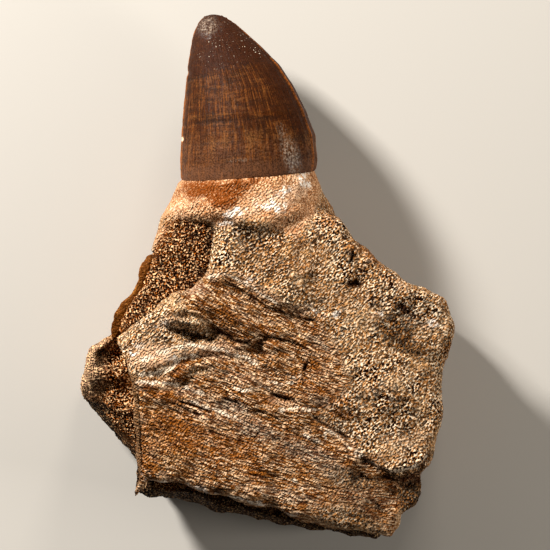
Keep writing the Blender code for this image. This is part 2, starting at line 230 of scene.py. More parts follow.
TURN = (turn_matrix(0.4, 0.3), turn_matrix(1.7, 0.9), turn_matrix(2.6, -0.7))
sample = np.random.default_rng(1).uniform(-40, 40, (4000, 3))
print(f"lumps spread {lumps(sample, 5, 1).std():.2f}")

# %% [markdown]
# *Grains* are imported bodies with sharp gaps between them, like sand. Every grid cell holds one grain somewhere
# in it, and each point belongs to the grain whose middle is nearest.

# %% Grains
def grains(points, pitch, seed):
    """Packed grains: how far a point is from its grain's middle, how near the gap is, and the grain's number."""
    place = points / pitch
    cell = np.floor(place).astype(int)
    first = np.full(len(points), 9.0)
    second = np.full(len(points), 9.0)
    number = np.zeros(len(points))
    for step in itertools.product((-1, 0, 1), repeat=3):
        home = cell + step
        middle = home + 0.1 + 0.8 * np.stack([lattice(home, seed + axis) for axis in range(3)], axis=1)
        away = np.linalg.norm(place - middle, axis=1)
        closer = away < first
        second = np.where(closer, first, np.minimum(second, away))
        first = np.where(closer, away, first)
        number = np.where(closer, lattice(home, seed + 3), number)
    return first, second - first, number


print(f"grain gaps average {grains(sample, 1, 2)[1].mean():.2f}")

# %% [markdown]
# The large features of a broken bone have a place and a course: a ledge runs here, a crack there. Each one is
# written as a path in millimetres, seen from above: x, y, x, y and so on. One function finds how far every
# point lies to the right or left of a path; ledges and cracks are then simple curves of that distance.

# %% Ledges and cracks
def along(flat, path, fade):
    """Each point's distance right of the path (left is negative), and 1 beside it, 0 past its ends."""
    path = np.reshape(path, (-1, 2)).astype(float)
    starts, steps = path[:-1], np.diff(path, axis=0)
    lengths = np.hypot(steps[:, 0], steps[:, 1])
    before = np.concatenate([[0], np.cumsum(lengths)])
    distance = np.full(len(flat), 1e3)
    across = np.zeros(len(flat))
    travelled = np.zeros(len(flat))
    for start, step, length, done in zip(starts, steps, lengths, before):
        offset = flat - start
        share = np.clip(offset @ step / length**2, 0, 1)
        away = offset - share[:, None] * step
        gap = np.hypot(away[:, 0], away[:, 1])
        nearer = gap < distance
        distance = np.where(nearer, gap, distance)
        across = np.where(nearer, offset[:, 0] * step[1] - offset[:, 1] * step[0], across)
        travelled = np.where(nearer, done + share * length, travelled)
    ends = smooth(travelled / fade) * smooth((before[-1] - travelled) / fade)
    return distance * np.sign(across), ends


def ledge(flat, path, drop, reach, lip=0.35, fade=2.5):
    """Right of the path the ground falls by drop at once, and climbs back over reach."""
    side, ends = along(flat, path, fade)
    return -drop * smooth(side / lip + 0.5) * (1 - smooth((side - lip) / reach)) * ends


def crease(flat, path, width, depth, fade=1.5):
    """A crack of that width, or a raised seam if depth is negative."""
    side, ends = along(flat, path, fade)
    return -depth * np.exp(-((side / width * 2) ** 2)) * ends


print("a ledge 1 mm deep falls to", round(float(ledge(np.array([[0.0, -0.5]]), (-9, 0, 9, 0), 1, 3)[0]), 2))

# %% [markdown]
# Areas are ovals, or closed outlines written like paths. An oval is its middle, its half length and half width,
# its turn in degrees and its strength.

# %% Ovals and outlines
def oval(flat, x, y, long, short, turn, amount):
    """A soft-edged oval: amount in its middle, 0 outside. turn is in degrees."""
    c, s = math.cos(math.radians(turn)), math.sin(math.radians(turn))
    across, up = flat[:, 0] - x, flat[:, 1] - y
    reach = np.hypot((c * across + s * up) / long, (c * up - s * across) / short)
    return amount * (1 - smooth((reach - 0.35) / 0.8))


def ovals(flat, table):
    """The strongest of several ovals at every point."""
    return np.maximum.reduce([oval(flat, *row) for row in table])


def inside(flat, outline, soft):
    """1 inside a closed outline, 0 outside, softened over that many millimetres."""
    outline = np.reshape(outline, (-1, 2)).astype(float)
    after = np.roll(outline, -1, axis=0)
    within = np.zeros(len(flat), bool)
    for (x0, y0), (x1, y1) in zip(outline, after):
        crosses = (y0 > flat[:, 1]) != (y1 > flat[:, 1])
        slope = (x1 - x0) / (y1 - y0) if y1 != y0 else 0
        within ^= crosses & (flat[:, 0] < x0 + (flat[:, 1] - y0) * slope)
    distance = np.abs(along(flat, np.vstack([outline, outline[:1]]), 1e-6)[0])
    return smooth(np.where(within, 0.5 + distance / soft, 0.5 - distance / soft))


square = (-1, -1, 1, -1, 1, 1, -1, 1)
print("inside, on the edge, outside:", inside(np.array([[0, 0], [1, 0], [2, 0]]), square, 0.5).round(2))

# %% [markdown]
# ## Growing a skin
#
# Each skin starts as a copy of its solid piece, made of even little squares by the Remesh modifier and rubbed
# smooth, so that none of the solid's flat facets is left. Where the piece is seen closely its squares are cut
# in four. Even squares matter: grains pushed out of a mesh of long thin triangles would look torn.

# %% Copy and remesh
def only(piece):
    """Selects that piece alone, for the operators that follow."""
    bpy.ops.object.select_all(action="DESELECT")
    bpy.context.view_layer.objects.active = piece
    piece.select_set(True)


def skin_of(node, name):
    """A new piece on that node's shape, its facets joined at their corners."""
    solid = frame["nodes"][node]
    skin = solid.copy()
    skin.data = solid.data.copy()
    skin.name = name
    skin.data.name = name
    skin.parent = None
    skin.data.materials.clear()
    bpy.context.scene.collection.objects.link(skin)
    only(skin)
    bpy.ops.object.mode_set(mode="EDIT")
    bpy.ops.mesh.select_all(action="SELECT")
    bpy.ops.mesh.remove_doubles(threshold=0.01 * MM)
    bpy.ops.object.mode_set(mode="OBJECT")
    return skin


def apply_modifier(piece, kind, **settings):
    """Adds a modifier with those settings and applies it at once."""
    tool = piece.modifiers.new(kind, kind)
    for name, value in settings.items():
        setattr(tool, name, value)
    bpy.context.view_layer.objects.active = piece
    bpy.ops.object.modifier_apply(modifier=tool.name)


def select_none(kind):
    """No corner, edge or face is selected, and faces or corners can be chosen next."""
    bpy.ops.object.mode_set(mode="EDIT")
    bpy.ops.mesh.select_mode(type=kind)
    bpy.ops.mesh.select_all(action="DESELECT")
    bpy.ops.object.mode_set(mode="OBJECT")


def even_squares(skin, square, rubs):
    """Makes a skin anew from squares of that size in millimetres and rubs it smooth that many times.

    A remesh can leave loose crumbs, so only what hangs together with the lowest point is kept.
    """
    apply_modifier(skin, "REMESH", mode="VOXEL", voxel_size=square * MM)
    apply_modifier(skin, "SMOOTH", factor=0.5, iterations=rubs)
    select_none("VERT")
    skin.data.vertices[int(np.argmin(points_of(skin)[:, 2]))].select = True
    bpy.ops.object.mode_set(mode="EDIT")
    bpy.ops.mesh.select_linked()
    bpy.ops.mesh.select_all(action="INVERT")
    bpy.ops.mesh.delete(type="VERT")
    bpy.ops.object.mode_set(mode="OBJECT")
    print(f"{skin.name} has {len(skin.data.polygons)} squares of {square} mm")


# %% [markdown]
# Three more tools finish a skin. One cuts squares finer, one closes the slots that the solids leave between
# them, and one puts the skin in its solid's place.

# %% Cut finer, press shut and settle
UNDONE = 0.05


def cut_finer(skin, wanted):
    """Cuts the squares all of whose corners are wanted (true for each point) in four."""
    mesh = skin.data
    corners = np.empty(len(mesh.loops), np.int32)
    mesh.loops.foreach_get("vertex_index", corners)
    sizes = np.empty(len(mesh.polygons), np.int32)
    mesh.polygons.foreach_get("loop_total", sizes)
    starts = np.concatenate([[0], np.cumsum(sizes)[:-1]])
    select_none("FACE")
    mesh.polygons.foreach_set("select", np.minimum.reduceat(wanted[corners].astype(int), starts).astype(bool))
    bpy.ops.object.mode_set(mode="EDIT")
    bpy.ops.mesh.subdivide(number_cuts=1, smoothness=0.6)
    bpy.ops.mesh.select_all(action="DESELECT")
    bpy.ops.object.mode_set(mode="OBJECT")
    print(skin.name, "has", sum(len(p.vertices) - 2 for p in mesh.polygons), "triangles")


def pressed_against(skin, other, reach, overlap):
    """Closes slots: points within reach of the other piece are moved onto it, and a little into it.

    A small share of each move is left undone, so that no two points end in one place.
    """
    skin_points = points_of(skin)
    tree = BVHTree.FromObject(other, bpy.context.evaluated_depsgraph_get())
    moved = 0
    for index, point in enumerate(skin_points):
        spot, direction, _, _ = tree.find_nearest(Vector(point) * MM, reach * MM)
        if spot is not None:
            target = np.array(spot - direction * overlap * MM) / MM
            skin_points[index] = (1 - UNDONE) * target + UNDONE * point
            moved += 1
    move_points(skin, skin_points)
    print(skin.name, "pressed at", moved, "points against", other.name)


def settle(skin, node):
    """Smooth shading, and the skin takes the place of its solid."""
    skin.data.shade_smooth()
    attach(skin, "root")
    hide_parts(node)


print(f"{UNDONE:.0%} of a press is left undone")

# %% [markdown]
# ## The jaw bone
#
# The bone is one body with two textures. Around the tooth and all over the right side its outer layer has
# worn off, and you look into spongy bone: packed little struts and pits about half a millimetre wide. On the
# left and lower part the bone has split along its grain, so it is a sheaf of fibres, frayed into thin ledges. We
# start with the skin, finer on the face that is looked at most: high up, where the bone faces upwards. Deep
# down, where the rock hides the slab, a block is cut away from it.

# %% The bone's skin
FRONT = 27
FACES_UP = 0.5
HIDDEN_BELOW = 17.5
BLOCK = (140, 76, 20)

bone = skin_of("jaw_bone", "jaw_bone_skin")
even_squares(bone, 0.64, 6)
block_middle = Vector((0, -34, HIDDEN_BELOW - BLOCK[2] / 2)) * MM
bpy.ops.mesh.primitive_cube_add(size=1, location=block_middle, scale=Vector(BLOCK) * MM)
block = bpy.context.object
apply_modifier(bone, "BOOLEAN", operation="DIFFERENCE", solver="FAST", object=block)
bpy.data.objects.remove(block)
only(bone)
start = points_of(bone)
cut_finer(bone, (start[:, 2] > FRONT) & (normals_of(bone)[:, 2] > FACES_UP))

# %% [markdown]
# Now the map of the bone, in millimetres: where it is fibrous, where its smooth outer layer is left, and the
# collar round the tooth.

# %% Fibrous and smooth places
FIBROUS = (
    -15.5, 0.2, -10.8, 1, -5, -1, -1, -3.4, 3.6, -6.8, 8, -9.2, 12.6, -11.6, 17.5, -18, 20.5, -26, 17.2, -31,
    13, -35.5, 19, -40, 25.5, -45.6, 31, -50, 33, -56, 31, -68, -36, -68, -36, -26, -25, -24.5, -20, -19.6,
    -12, -18.6, -14, -13, -20, -8, -23, -4,
)
SMOOTH_CORTEX = (
    (-28, -20, 8, 3.6, 12, 0.8), (-14, -19, 9, 2, -6, 0.5), (-25, 9, 5, 7, -20, 0.8),
    (-17.6, -3.6, 4, 2, 10, 0.7), (34.6, -50.6, 5, 2.5, 20, 0.8),
)
COLLAR = (
    -32, 14, -23.8, 14.3, -18.1, 14, -13.5, 12.4, -10, 12.2, -6.7, 14, -2.2, 13.5, 2.2, 11, 6.7, 9.9, 10.2, 13,
    12.6, 18, 14.5, 25, 50, 26, 50, 60, -50, 60, -50, 21,
)
print("smooth places:", len(SMOOTH_CORTEX))

# %% [markdown]
# Ledges are steps where a layer of bone has broken off. Each is its path, its depth, how far the ground takes to
# climb back, and how soft its lip is. Seams are thin raised lines, written like the cracks below.

# %% Ledges and seams
LEDGES = (
    ((-9, -3.4, -5.5, -4.8, -2.4, -6.4, 0.7, -8.2, 5.2, -9.7, 12.6, -11.7), 0.4, 2.2),
    ((-15.4, -11.9, -14, -12.7, -7.8, -16.1, -3.5, -16.6, 0, -15.2), 0.5, 3, 0.8),
    ((-19, -19.5, -15.5, -19, -10, -19.8, -4.8, -21, -2.4, -22), 0.22, 1.6),
    ((-33, -25.6, -25, -24.9, -22.4, -22.9, -19, -20.5), 0.2, 2),
    ((-2.4, -15.1, 1.5, -15.1, 6.5, -16.6, 10.7, -18.5), 0.5, 1.6),
    ((-3, -26, 0.5, -28.6, 2, -29.6, 5, -30.5, 7.6, -31.3), 0.5, 1.4),
    ((0.4, -17.6, 5, -18.8, 9.5, -21, 13, -24), 0.35, 1.4), ((-12, -31, -8, -31.7, -3, -33.8, 2, -36), 0.35, 1.8),
    ((9, -26.5, 14, -28.2, 19.5, -31.6), 0.35, 1.4), ((-8, -46, -1, -48.6, 7, -51.6, 14, -52.6), 0.35, 1.8),
    (
        (22, -44.4, 25, -46.2, 27.5, -47.4, 30.5, -48.6, 33.5, -48.4, 36.8, -47.2, 39.6, -44.8, 41.6, -42.4),
        1.5, 6, 0.7,
    ),
    ((24, -54.8, 27.5, -57, 30, -60.2), 0.7, 2.4),
    ((-13.5, 12.2, -10, 12, -6.7, 13.6, -2.2, 13, 2.2, 10.6, 6.7, 9.5, 10.2, 11.6, 13.5, 12.8), 0.15, 3, 0.9),
)
SEAMS = (
    ((26.5, -46.6, 30.5, -47.9, 33.5, -47.6, 36.8, -46.4, 39.8, -43.8), 1, -0.5),
    ((9.2, -39.6, 11.4, -40.4, 13.6, -41.6), 0.4, -0.35, 0.8),
    ((6.4, -50.6, 7.6, -52, 8.8, -53.4), 0.4, -0.35, 0.6), ((12.4, -37.2, 16.6, -39.3, 21.4, -43.6), 0.5, -0.3),
    ((-16, -17.5, -10.5, -17.8, -5, -18.6), 0.8, -0.3), ((-6, -2.2, -1, -5.2, 3.4, -7.8), 0.7, -0.25),
    ((22.6, 2.8, 23.6, 0.6, 22.8, -1.4), 0.7, -0.3, 0.8),
)
print(len(LEDGES), "ledges,", len(SEAMS), "raised seams")

# %% [markdown]
# Cracks come in two sets: along the fibres, and a few across them. Each is its path, its width and its depth,
# and how far its ends taper where that isn't 1.5 mm. Where the plain solid dips too deep for the real bone, an
# oval of it is filled up by that many millimetres.

# %% Cracks and fills
CRACKS = (
    ((-8.2, -3.6, -2.4, -6.5, 0.7, -8.3, 5.2, -9.8, 12.6, -11.8), 0.45, 0.3),
    ((0.7, -29.2, 2.8, -30, 4.9, -30.5, 7.6, -31.2), 0.8, 1),
    ((-6.6, -17, -2.4, -15.2, 1.5, -15.2, 6.5, -16.7, 10.7, -18.6), 0.45, 0.5),
    ((11.2, -18.5, 10.2, -21.2, 9, -24, 8.2, -27.5, 8, -30), 0.36, 0.35),
    ((8, -30, 7.6, -33.2, 7.9, -36.2, 7.8, -41, 8, -44), 0.3, 0.2), ((9.5, -22, 8.8, -23.8), 0.8, 0.9, 0.5),
    ((10.5, -34.6, 13, -36.5, 15.8, -38, 18.5, -39.5, 20.4, -40.9), 0.55, 0.7),
    ((21.5, -43.6, 25.2, -46, 27.8, -47.8), 0.8, 0.7),
    ((-24.5, -31.7, -21.5, -32.5, -19, -34, -15.7, -35.2), 0.55, 1),
    ((-22.5, -31, -17, -32.8, -13.2, -34.5), 0.5, 0.9), ((-11.5, -30.8, -8.2, -31.5, -6.2, -32.4), 0.55, 0.9),
    ((-25.6, -32.6, -22.6, -33.8, -20, -35.2), 0.4, 0.7), ((-3.6, -33.4, 0.6, -34.6, 3.6, -36.4), 0.4, 0.7),
    ((-16, -38, -10, -40.2, -5.4, -41.4), 0.36, 0.5), ((4, -38, 9.4, -40.4, 13, -42.8), 0.4, 0.6),
    ((-12, -47, -4, -49.6, 3, -51.2), 0.36, 0.5), ((-6, -39.4, -2, -40.6), 0.42, 0.5),
    ((-32.2, -27.6, -29, -28.2), 0.45, 0.5), ((-20.2, -28.8, -15, -30.2, -10.6, -32.4), 0.36, 0.35),
    ((-26, -37.6, -20, -39.6, -16, -41), 0.36, 0.3), ((-4.5, -26.5, -1.5, -27.8, 0.8, -29.2), 0.4, 0.4),
    ((-15.4, -19.2, -10, -20, -4.8, -21.2, -2.4, -22.2), 0.3, 0.2),
    ((-24.2, -13.4, -20.8, -14.4, -16.4, -15.2, -13, -16.2), 1.2, 0.6),
    ((-14.6, -12.6, -7.8, -16.3, -3.5, -16.8), 0.9, 0.4), ((21.2, 6.4, 20.8, 3.6, 19.8, 2.6), 0.6, 0.9, 0.8),
    ((19.4, -2.4, 21.4, -1.9, 23.6, -2.4), 1.3, 1.1, 0.8), ((32.4, -6.6, 33.6, -8.4, 35.4, -9.6), 1.2, 0.8, 0.8),
    ((27, -29.6, 31, -31.2, 36, -31), 0.9, 0.45), ((14, -33, 19, -35.6, 24, -37), 0.4, 0.35),
)
FILLS = (
    (-21.5, -10.3, 6.8, 3, -14, 2.6), (-20, -12.2, 6.8, 2, -8, 1.6), (-22.5, -24.2, 4.8, 1.9, 28, 1.6),
    (-28, -26.8, 5.6, 1.9, 0, 1.5), (-28.5, -29.4, 6.5, 2.4, -4, 0.8), (-21, -24.8, 3.6, 1.5, 40, 0.9),
    (-16.5, -21.9, 4.8, 1.5, 8, 0.9), (-17.5, -13.4, 4.2, 2, -24, 0.5), (-3, -17.4, 6, 2, -4, 1.6),
    (25, -48.6, 4.4, 2, -32, 1.5), (-12, -22.6, 6, 1.8, -6, 0.6), (3.5, -5.4, 8.5, 2.2, -27, 0.8),
)
print(len(CRACKS), "cracks,", len(FILLS), "fills")

# %% [markdown]
# The fibres slope down to the right, more steeply near the tooth, and bend a little at the lower right.

# %% The course of the fibres
def fibre_course(points):
    """How far a point lies across the fibres, in millimetres: constant along each one."""
    x, y = points[:, 0], points[:, 1]
    slope = 0.25 + 0.0042 * (y + 55)
    bend = smooth((x - 8) / 30) * smooth((-30 - y) / 18) * (x - 8) * 0.08
    return y + slope * x - bend + 0.7 * lumps(points, 13, 5) + 0.2 * lumps(points, 4.5, 6)


ends = fibre_course(np.array([(0, -40, 30), (10, -40, 30)]))
print(f"the course falls {ends[1] - ends[0]:.1f} mm in 10")

# %% [markdown]
# The slab's left wall leans in a little, behind a thin standing rim. The rock that touches it moves along.

# %% Draw the slab's left wall in
WALL_HEIGHTS = (-57.6, -54, -51.5, -40.5, -32.5, -27.5, -23)
WALL_MOVES = (0.6, 1, 2.1, 1.8, 1.6, 1.1, 0)


def wall_drawn_in(points):
    """How far the broken left wall of the slab, and the rock that touches it, move to the right."""
    wanted = np.interp(points[:, 1], WALL_HEIGHTS, WALL_MOVES)
    return wanted * smooth((-28 - points[:, 0]) / 5.5) * smooth((points[:, 0] + 42) / 6)


points = points_of(bone)
points[:, 0] += wall_drawn_in(points)
points[:, 2] += sum(oval(points[:, :2], *row) for row in FILLS) * (points[:, 2] > 24)
move_points(bone, points)
print(f"the wall moves by up to {wall_drawn_in(points).max():.1f} mm")

# %% [markdown]
# With the map drawn, the face can be worked. First every point learns what it is part of. The three views x, y
# and z look into the same points, so a change to z also moves the points.

# %% Sort the bone's surface
points = points_of(bone)
normals = normals_of(bone)
x, y, z = points.T
flat = points[:, :2] + 1.1 * straying(points, 3, 11)
face = smooth((z - 24) / 4) * smooth((normals[:, 2] - 0.1) / 0.4)
GRITTY = ((21.5, -50.8, 9, 3, -14, 0.85), (20.5, -61, 12, 4.4, -14, 0.95), (-17.5, -23.6, 3.8, 1.8, 10, 0.8))
fibrous = inside(flat, FIBROUS, 2.5) * (1 - ovals(flat, GRITTY))
cortex = np.maximum(ovals(flat, SMOOTH_CORTEX), inside(flat, COLLAR, 2.6))
spongy = (1 - fibrous) * (1 - cortex)
print(f"fibrous {fibrous.mean():.0%}, spongy {spongy.mean():.0%}")

# %% [markdown]
# Each texture now lifts or sinks the points along their normals, by tenths of a millimetre. A fibre is a long
# thin lump, so lumps are stretched: many millimetres along the course, well under one across it. Spongy bone is
# fine roughness with its low places sunk in. The rim at the left wall and the part under the crown are kept
# calm, and the ledges, cracks and seams are cut last, straight down.

# %% Work the bone
fibre_way = np.stack([x * 0.16, fibre_course(points), z * 0.25], axis=1)
strand = lumps(fibre_way, 0.75, 21)
thread = lumps(fibre_way * (1.5, 1, 1), 0.36, 22)
tier = lumps(fibre_way * (0.6, 1, 0.6), 3, 23)
split = 1 - smooth(np.abs(lumps(fibre_way, 0.9, 24)) / 0.14)
split *= smooth(rough(points, 6, 25) * 2 + 0.1)

pore = rough(points, 0.55, 31, 2)
clump = rough(points, 2.2, 35, 2)
lift = 0.4 * rough(points, 6, 41) + (0.24 - 0.12 * face) * rough(points, 2, 45)
lift += spongy * (0.12 * pore - 0.12 * smooth((-pore - 0.15) / 0.5) + 0.14 * clump)
lift += fibrous * (0.1 * strand + 0.04 * thread - 0.28 * split + 0.24 * np.round(tier * 2.4) / 2.4)
lift += fibrous * 0.06 * rough(points, 0.6, 47, 2)
lift += cortex * (0.07 * rough(points, 0.8, 51) - 0.16 * smooth((rough(points, 1.1, 54) - 0.45) / 0.3))

carved = sum(ledge(flat * 0.4 + points[:, :2] * 0.6, *row) for row in LEDGES)
sunk = sum(crease(flat * 0.3 + points[:, :2] * 0.7, *row) for row in CRACKS)
sunk += sum(crease(points[:, :2], *row) for row in SEAMS)
RIM = (-32.3, -23.5, -31.9, -32.5, -31.5, -40.5, -31, -53)
strip_side, strip_ends = along(points[:, :2], RIM, 1.5)
strip = smooth((strip_side - 0.1) / 0.3) * smooth((3 - strip_side) / 0.5) * strip_ends * (z > 20)
sunk -= 0.3 * np.exp(-((strip_side / 0.22) ** 2)) * strip_ends
under_crown = smooth((y - 23.2 - 0.1 * (x + 21)) / 0.9)
lift = lift * (1 - 0.7 * strip) * (1 - under_crown) - 0.35 * under_crown
points += normals * (lift * (0.75 + 0.25 * face))[:, None]
z += 0.35 * strip
z += (carved + sunk * (0.6 + 0.6 * np.abs(strand))) * face
move_points(bone, points)
print(f"bone relief from {lift.min():.2f} to {lift.max():.2f} mm, deepest crack {sunk.min():.2f} mm")

# %% [markdown]
# The colours of a fossil are mostly stains. Iron makes rust, manganese makes soot-black, sun and acid bleach to
# cream, and the outer bone stays ash grey. Some ovals paint light instead: many soot ovals are painted shade, and
# a few cream and bleach ovals are painted highlights. Each stain is a set of soft ovals, roughened by lumps at
# their edges. The material will read them by name. First come the warm stains and the pale ones.

# %% Rust and cream
RUST = (
    (2, 4, 17, 8, -20, 0.42), (22, -6, 9, 5, -30, 0.35), (-13.6, 20.6, 9, 3, -4, 1), (-5, 22.4, 7, 1.6, 8, 0.8),
    (-11.5, 18.6, 4.5, 1.6, 0, 1), (-9.5, -10.4, 8.5, 3, -25, 0.85), (15.5, -30.2, 7.5, 3.2, -24, 0.8),
    (9, -26, 6, 2.4, -20, 0.6), (19, -34.3, 4.5, 1.8, -15, 0.9), (-3.2, -48.8, 5, 3, -30, 0.8),
    (-26.5, -29.6, 7, 2.4, -10, 1), (-23, -39, 12, 7, -15, 1), (-9, -42.5, 9, 4, -15, 0.9),
    (-29.5, -44, 4.5, 8, 0, 0.65), (21.5, 6.6, 4, 2.2, -30, 0.7), (24, 1.4, 2.4, 4.5, 30, 0.6),
    (44.6, -19, 1.8, 5, 0, 0.8), (-1, -31.4, 6.5, 2.4, -22, 0.6), (29, -36.4, 2.4, 1.2, 0, 0.6),
    (-22.2, -23.8, 4.5, 3.2, 35, 0.8), (4.5, -43.5, 5, 2, -15, 0.5), (6, 8, 5, 2, -20, 0.3),
    (30, -45, 9, 2.4, 5, 0.5), (-2, -13, 6, 2.4, -20, 0.5), (25, 4.8, 7, 1.8, -40, 0.95),
    (41, -4, 5, 1.6, -28, 0.6), (-17, 15.4, 5, 1.6, -20, 0.35), (-24, 12, 3, 6, -25, 0.4),
    (15, 15, 3.4, 6.4, 24, 0.7), (9, 8.4, 5, 3, -10, 0.5), (12, -22.5, 6, 2.5, -25, 0.45),
    (-11, -29, 9, 1.8, -14, 0.45), (38.5, -2, 6, 1, -30, 0.5),
)
CREAM = (
    (1.5, 18, 8, 3.6, 5, 0.9), (-5.5, 15.4, 6.5, 2.2, 15, 0.9), (8, 22.4, 3, 4.5, 0, 1),
    (-20.5, 16.2, 6.5, 3.4, 35, 0.45), (-11, 12.6, 4, 1.4, -10, 0.8), (-1, -4.4, 10, 1.6, -27, 0.8),
    (8.4, -8.9, 4, 2, -20, 0.7), (-29.5, -19.6, 8, 5.5, 10, 0.85), (-14, -17.8, 11, 1.7, -6, 0.95),
    (-26, -12, 8, 3.2, 22, 0.6), (3.4, -31.4, 5.5, 2.4, -20, 0.6), (39.4, -12.4, 3.6, 2.6, -20, 0.9),
    (26, -10.2, 2.2, 1, 10, 0.8), (31.5, -1.6, 9, 2, -30, 0.5), (34, -41, 9, 4, 10, 0.45),
    (-6, -25.6, 9, 2.2, -14, 0.6), (26, -27, 8, 5, 0, 0.35), (12, 12, 4, 5, 20, 0.5),
    # These three run along the slab's bottom rim and paint its lit edge: painted highlight.
    (-30, -52.4, 6, 1.6, -8, 0.7), (-12, -54.4, 14, 1.4, -13, 0.6), (8, -60.5, 10, 1.6, -12, 0.6),
    (0, 2, 6, 3, 0, 0.3), (20, -14, 7, 5, -30, 0.25), (-30, -26.8, 6, 1.2, 6, 0.7),
    (-19, -29.6, 10, 1.6, -16, 0.8), (-6, -35.4, 9, 2, -19, 0.6), (-14, -35.6, 8, 1.4, -17, 0.5),
    (-16, -19.4, 9, 2.2, -6, 0.7), (-6, 0, 6, 1.6, -24, 0.7), (13.5, -9.8, 2.4, 1.2, 0, 0.8),
    (24.4, 2.8, 2.6, 1.2, 40, 0.6),
)
print("rust and cream:", len(RUST) + len(CREAM), "ovals")

# %% [markdown]
# Ash and soot are the cold, dark stains, and many soot ovals are painted shade: under the collar's lip, in the
# hollow below the crest and round the fold at the lower right. Scorch is the rust-red band under the crown's left
# side.

# %% Ash, soot with painted shade, and scorch
ASH = (
    (-17.6, -3.6, 4.6, 2.2, 8, 0.8), (13, -17.5, 5.5, 2.2, -35, 0.6), (14, -31.2, 7, 1.8, -18, 0.8),
    (-9, -32.6, 6, 2.4, -12, 0.85), (-2, -38.8, 8, 3.2, -15, 0.75), (9, -43.8, 10, 3.4, -15, 0.8),
    (3, -54.2, 13, 1.9, -12, 0.75), (-23, -19.2, 6, 1.5, 8, 0.7), (9.2, 21, 2.5, 4, 0, 0.3),
    (35, -9.6, 6, 3, -30, 0.8), (18, -49, 9, 3, -14, 0.8), (24, -55.5, 9, 5, -14, 0.8), (27, -32, 9, 3, -10, 0.3),
    (-20, -11.4, 5, 2, 0, 0.5), (-4, -22.6, 7, 1.6, -15, 0.4),
)
# Soot ovals at the collar's lip, in the hollow below the crest and round the fold at the lower right are painted
# shade; the three at the upper right are a dark stain.
SOOT_AND_SHADE = (
    (31.6, -13.9, 7.5, 4.6, -24, 0.9), (34.8, -17.2, 7.5, 3.2, -28, 0.85), (33.2, -8.2, 3.6, 1.7, -38, 0.95),
    (21.8, -2.1, 2.4, 1.3, 15, 1), (-4.7, 9.4, 5, 3.4, -12, 0.5), (-4.5, 6.7, 4, 2, 0, 0.4),
    (-20.2, -13.8, 5.5, 1.5, -14, 0.2), (-10.5, -13.6, 5.5, 1.5, -28, 0.4), (-6.5, -16.6, 6, 1.2, -8, 0.3),
    (35, -51.8, 8, 4.4, 20, 1), (35.8, -55.6, 5.5, 3.4, 25, 1.2), (31.5, -50.6, 6, 2.2, -10, 1.2),
    (15.5, -56.2, 8, 3, -14, 0.4), (27, -57, 5, 6, 20, 0.7), (21, -54, 8, 4, -14, 0.4),
    (23.5, -51.2, 7.5, 3, -14, 0.95), (23.5, -60, 8, 3.4, -14, 0.75), (26, -30.2, 10, 1.7, -18, 0.4),
    (20.8, 4.4, 1.2, 3, 5, 0.8), (10, -46, 14, 3, -14, 0.2),
)
SCORCH = (
    (-14, 20.6, 10.5, 3.4, -2, 1), (-11.4, 18.2, 4.6, 2.2, -10, 1), (-5.4, 22.5, 6, 1.3, 8, 0.8),
    (-18.6, 21.2, 2.2, 3, 0, 0.8),
)
print("ash, soot and scorch:", len(ASH) + len(SOOT_AND_SHADE) + len(SCORCH), "ovals")

# %% [markdown]
# The palest marks are small: pale patches, of which those on the collar's bulge are painted highlights, a painted
# highlight along the slab's lit bottom rim, and wisps where thin bright fibres cross the face or a tool has
# scratched it. Wisps are paths, like the raised seams.

# %% Pale patches, painted highlights and wisps
BLEACH_AND_HIGHLIGHTS = (
    # The five ovals on the collar are painted highlights.
    (0.6, 17.1, 4.6, 2.4, -10, 1), (-7.8, 15.9, 3.6, 1.8, 10, 1), (-10.8, 12.6, 2.2, 1.4, 30, 0.9),
    (9.4, 23.8, 1.6, 2.8, 10, 0.9), (4.4, 20.8, 3.2, 1.8, 30, 0.6), (-22.9, 17, 3.6, 0.6, 48, 0.4),
    (41.1, -12.5, 2.2, 1.8, 0, 0.9), (26.8, -9.9, 1.8, 1, -10, 0.8), (17.2, -9.6, 1.6, 1, 0, 0.8),
    (37.2, -30.5, 1, 0.8, 0, 0.8), (10.4, -8.4, 2.4, 1, -20, 0.6), (-4, -1.4, 3, 0.9, -35, 0.6),
    (-33, -18.6, 4, 1.2, 25, 0.6), (-22, -20.6, 6, 0.9, 8, 0.7), (-26, -12.6, 4, 1, 25, 0.5),
)
WISPS = (
    ((-33.2, -21.6, -28, -20, -24, -18.2, -18.5, -17.4, -13.2, -18.2, -6.2, -20.4, -1.6, -22.6), 1, -1.4),
    ((-32.6, -24.6, -27.5, -24.4, -24, -23, -21.6, -20.8, -17, -19.6), 1, -1.4),
    ((-33, -26.4, -28, -26.6, -22, -27.4, -15, -29.4), 1, -1.1),
    ((-16, -0.6, -11, 0.2, -5.4, -2, -1.6, -4.6, 3.4, -7.6), 0.9, -1.1),
    ((-20, -31.2, -13, -33.4, -6, -36.4), 1, -0.9), ((2, -33.6, 8, -33, 12.6, -33.6), 0.9, -1.1),
    ((8.6, -39.4, 13.6, -41.4), 0.7, -1.2, 0.6), ((14.2, -38.6, 14.3, -41.2), 0.7, -1.2, 0.5),
    ((5.8, -50.2, 8.8, -53.4), 0.7, -1, 0.6),
    ((21.6, -44.6, 21.8, -43.4, 22.8, -43.2, 23.3, -44.2, 22.6, -45.2, 21.6, -44.6), 0.7, -1.1, 0.2),
    ((24.2, -45.6, 27, -47.4, 30.5, -48.5, 33.5, -48.2, 36.8, -47, 40, -44.6), 0.7, -1),
    ((12.4, -37.2, 16.6, -39.3, 21.4, -43.6), 0.7, -1), ((-1, -26, 3.5, -27.2, 7.6, -26.6), 0.7, -1),
    ((-9.4, -27.8, -5, -28.6, -1.4, -27.4, 1, -28.8), 0.7, -1), ((4, -24.6, 7.4, -25.6, 8.6, -24.2), 0.7, -0.9),
)
print("crumbs and wisps:", len(BLEACH_AND_HIGHLIGHTS) + len(WISPS))
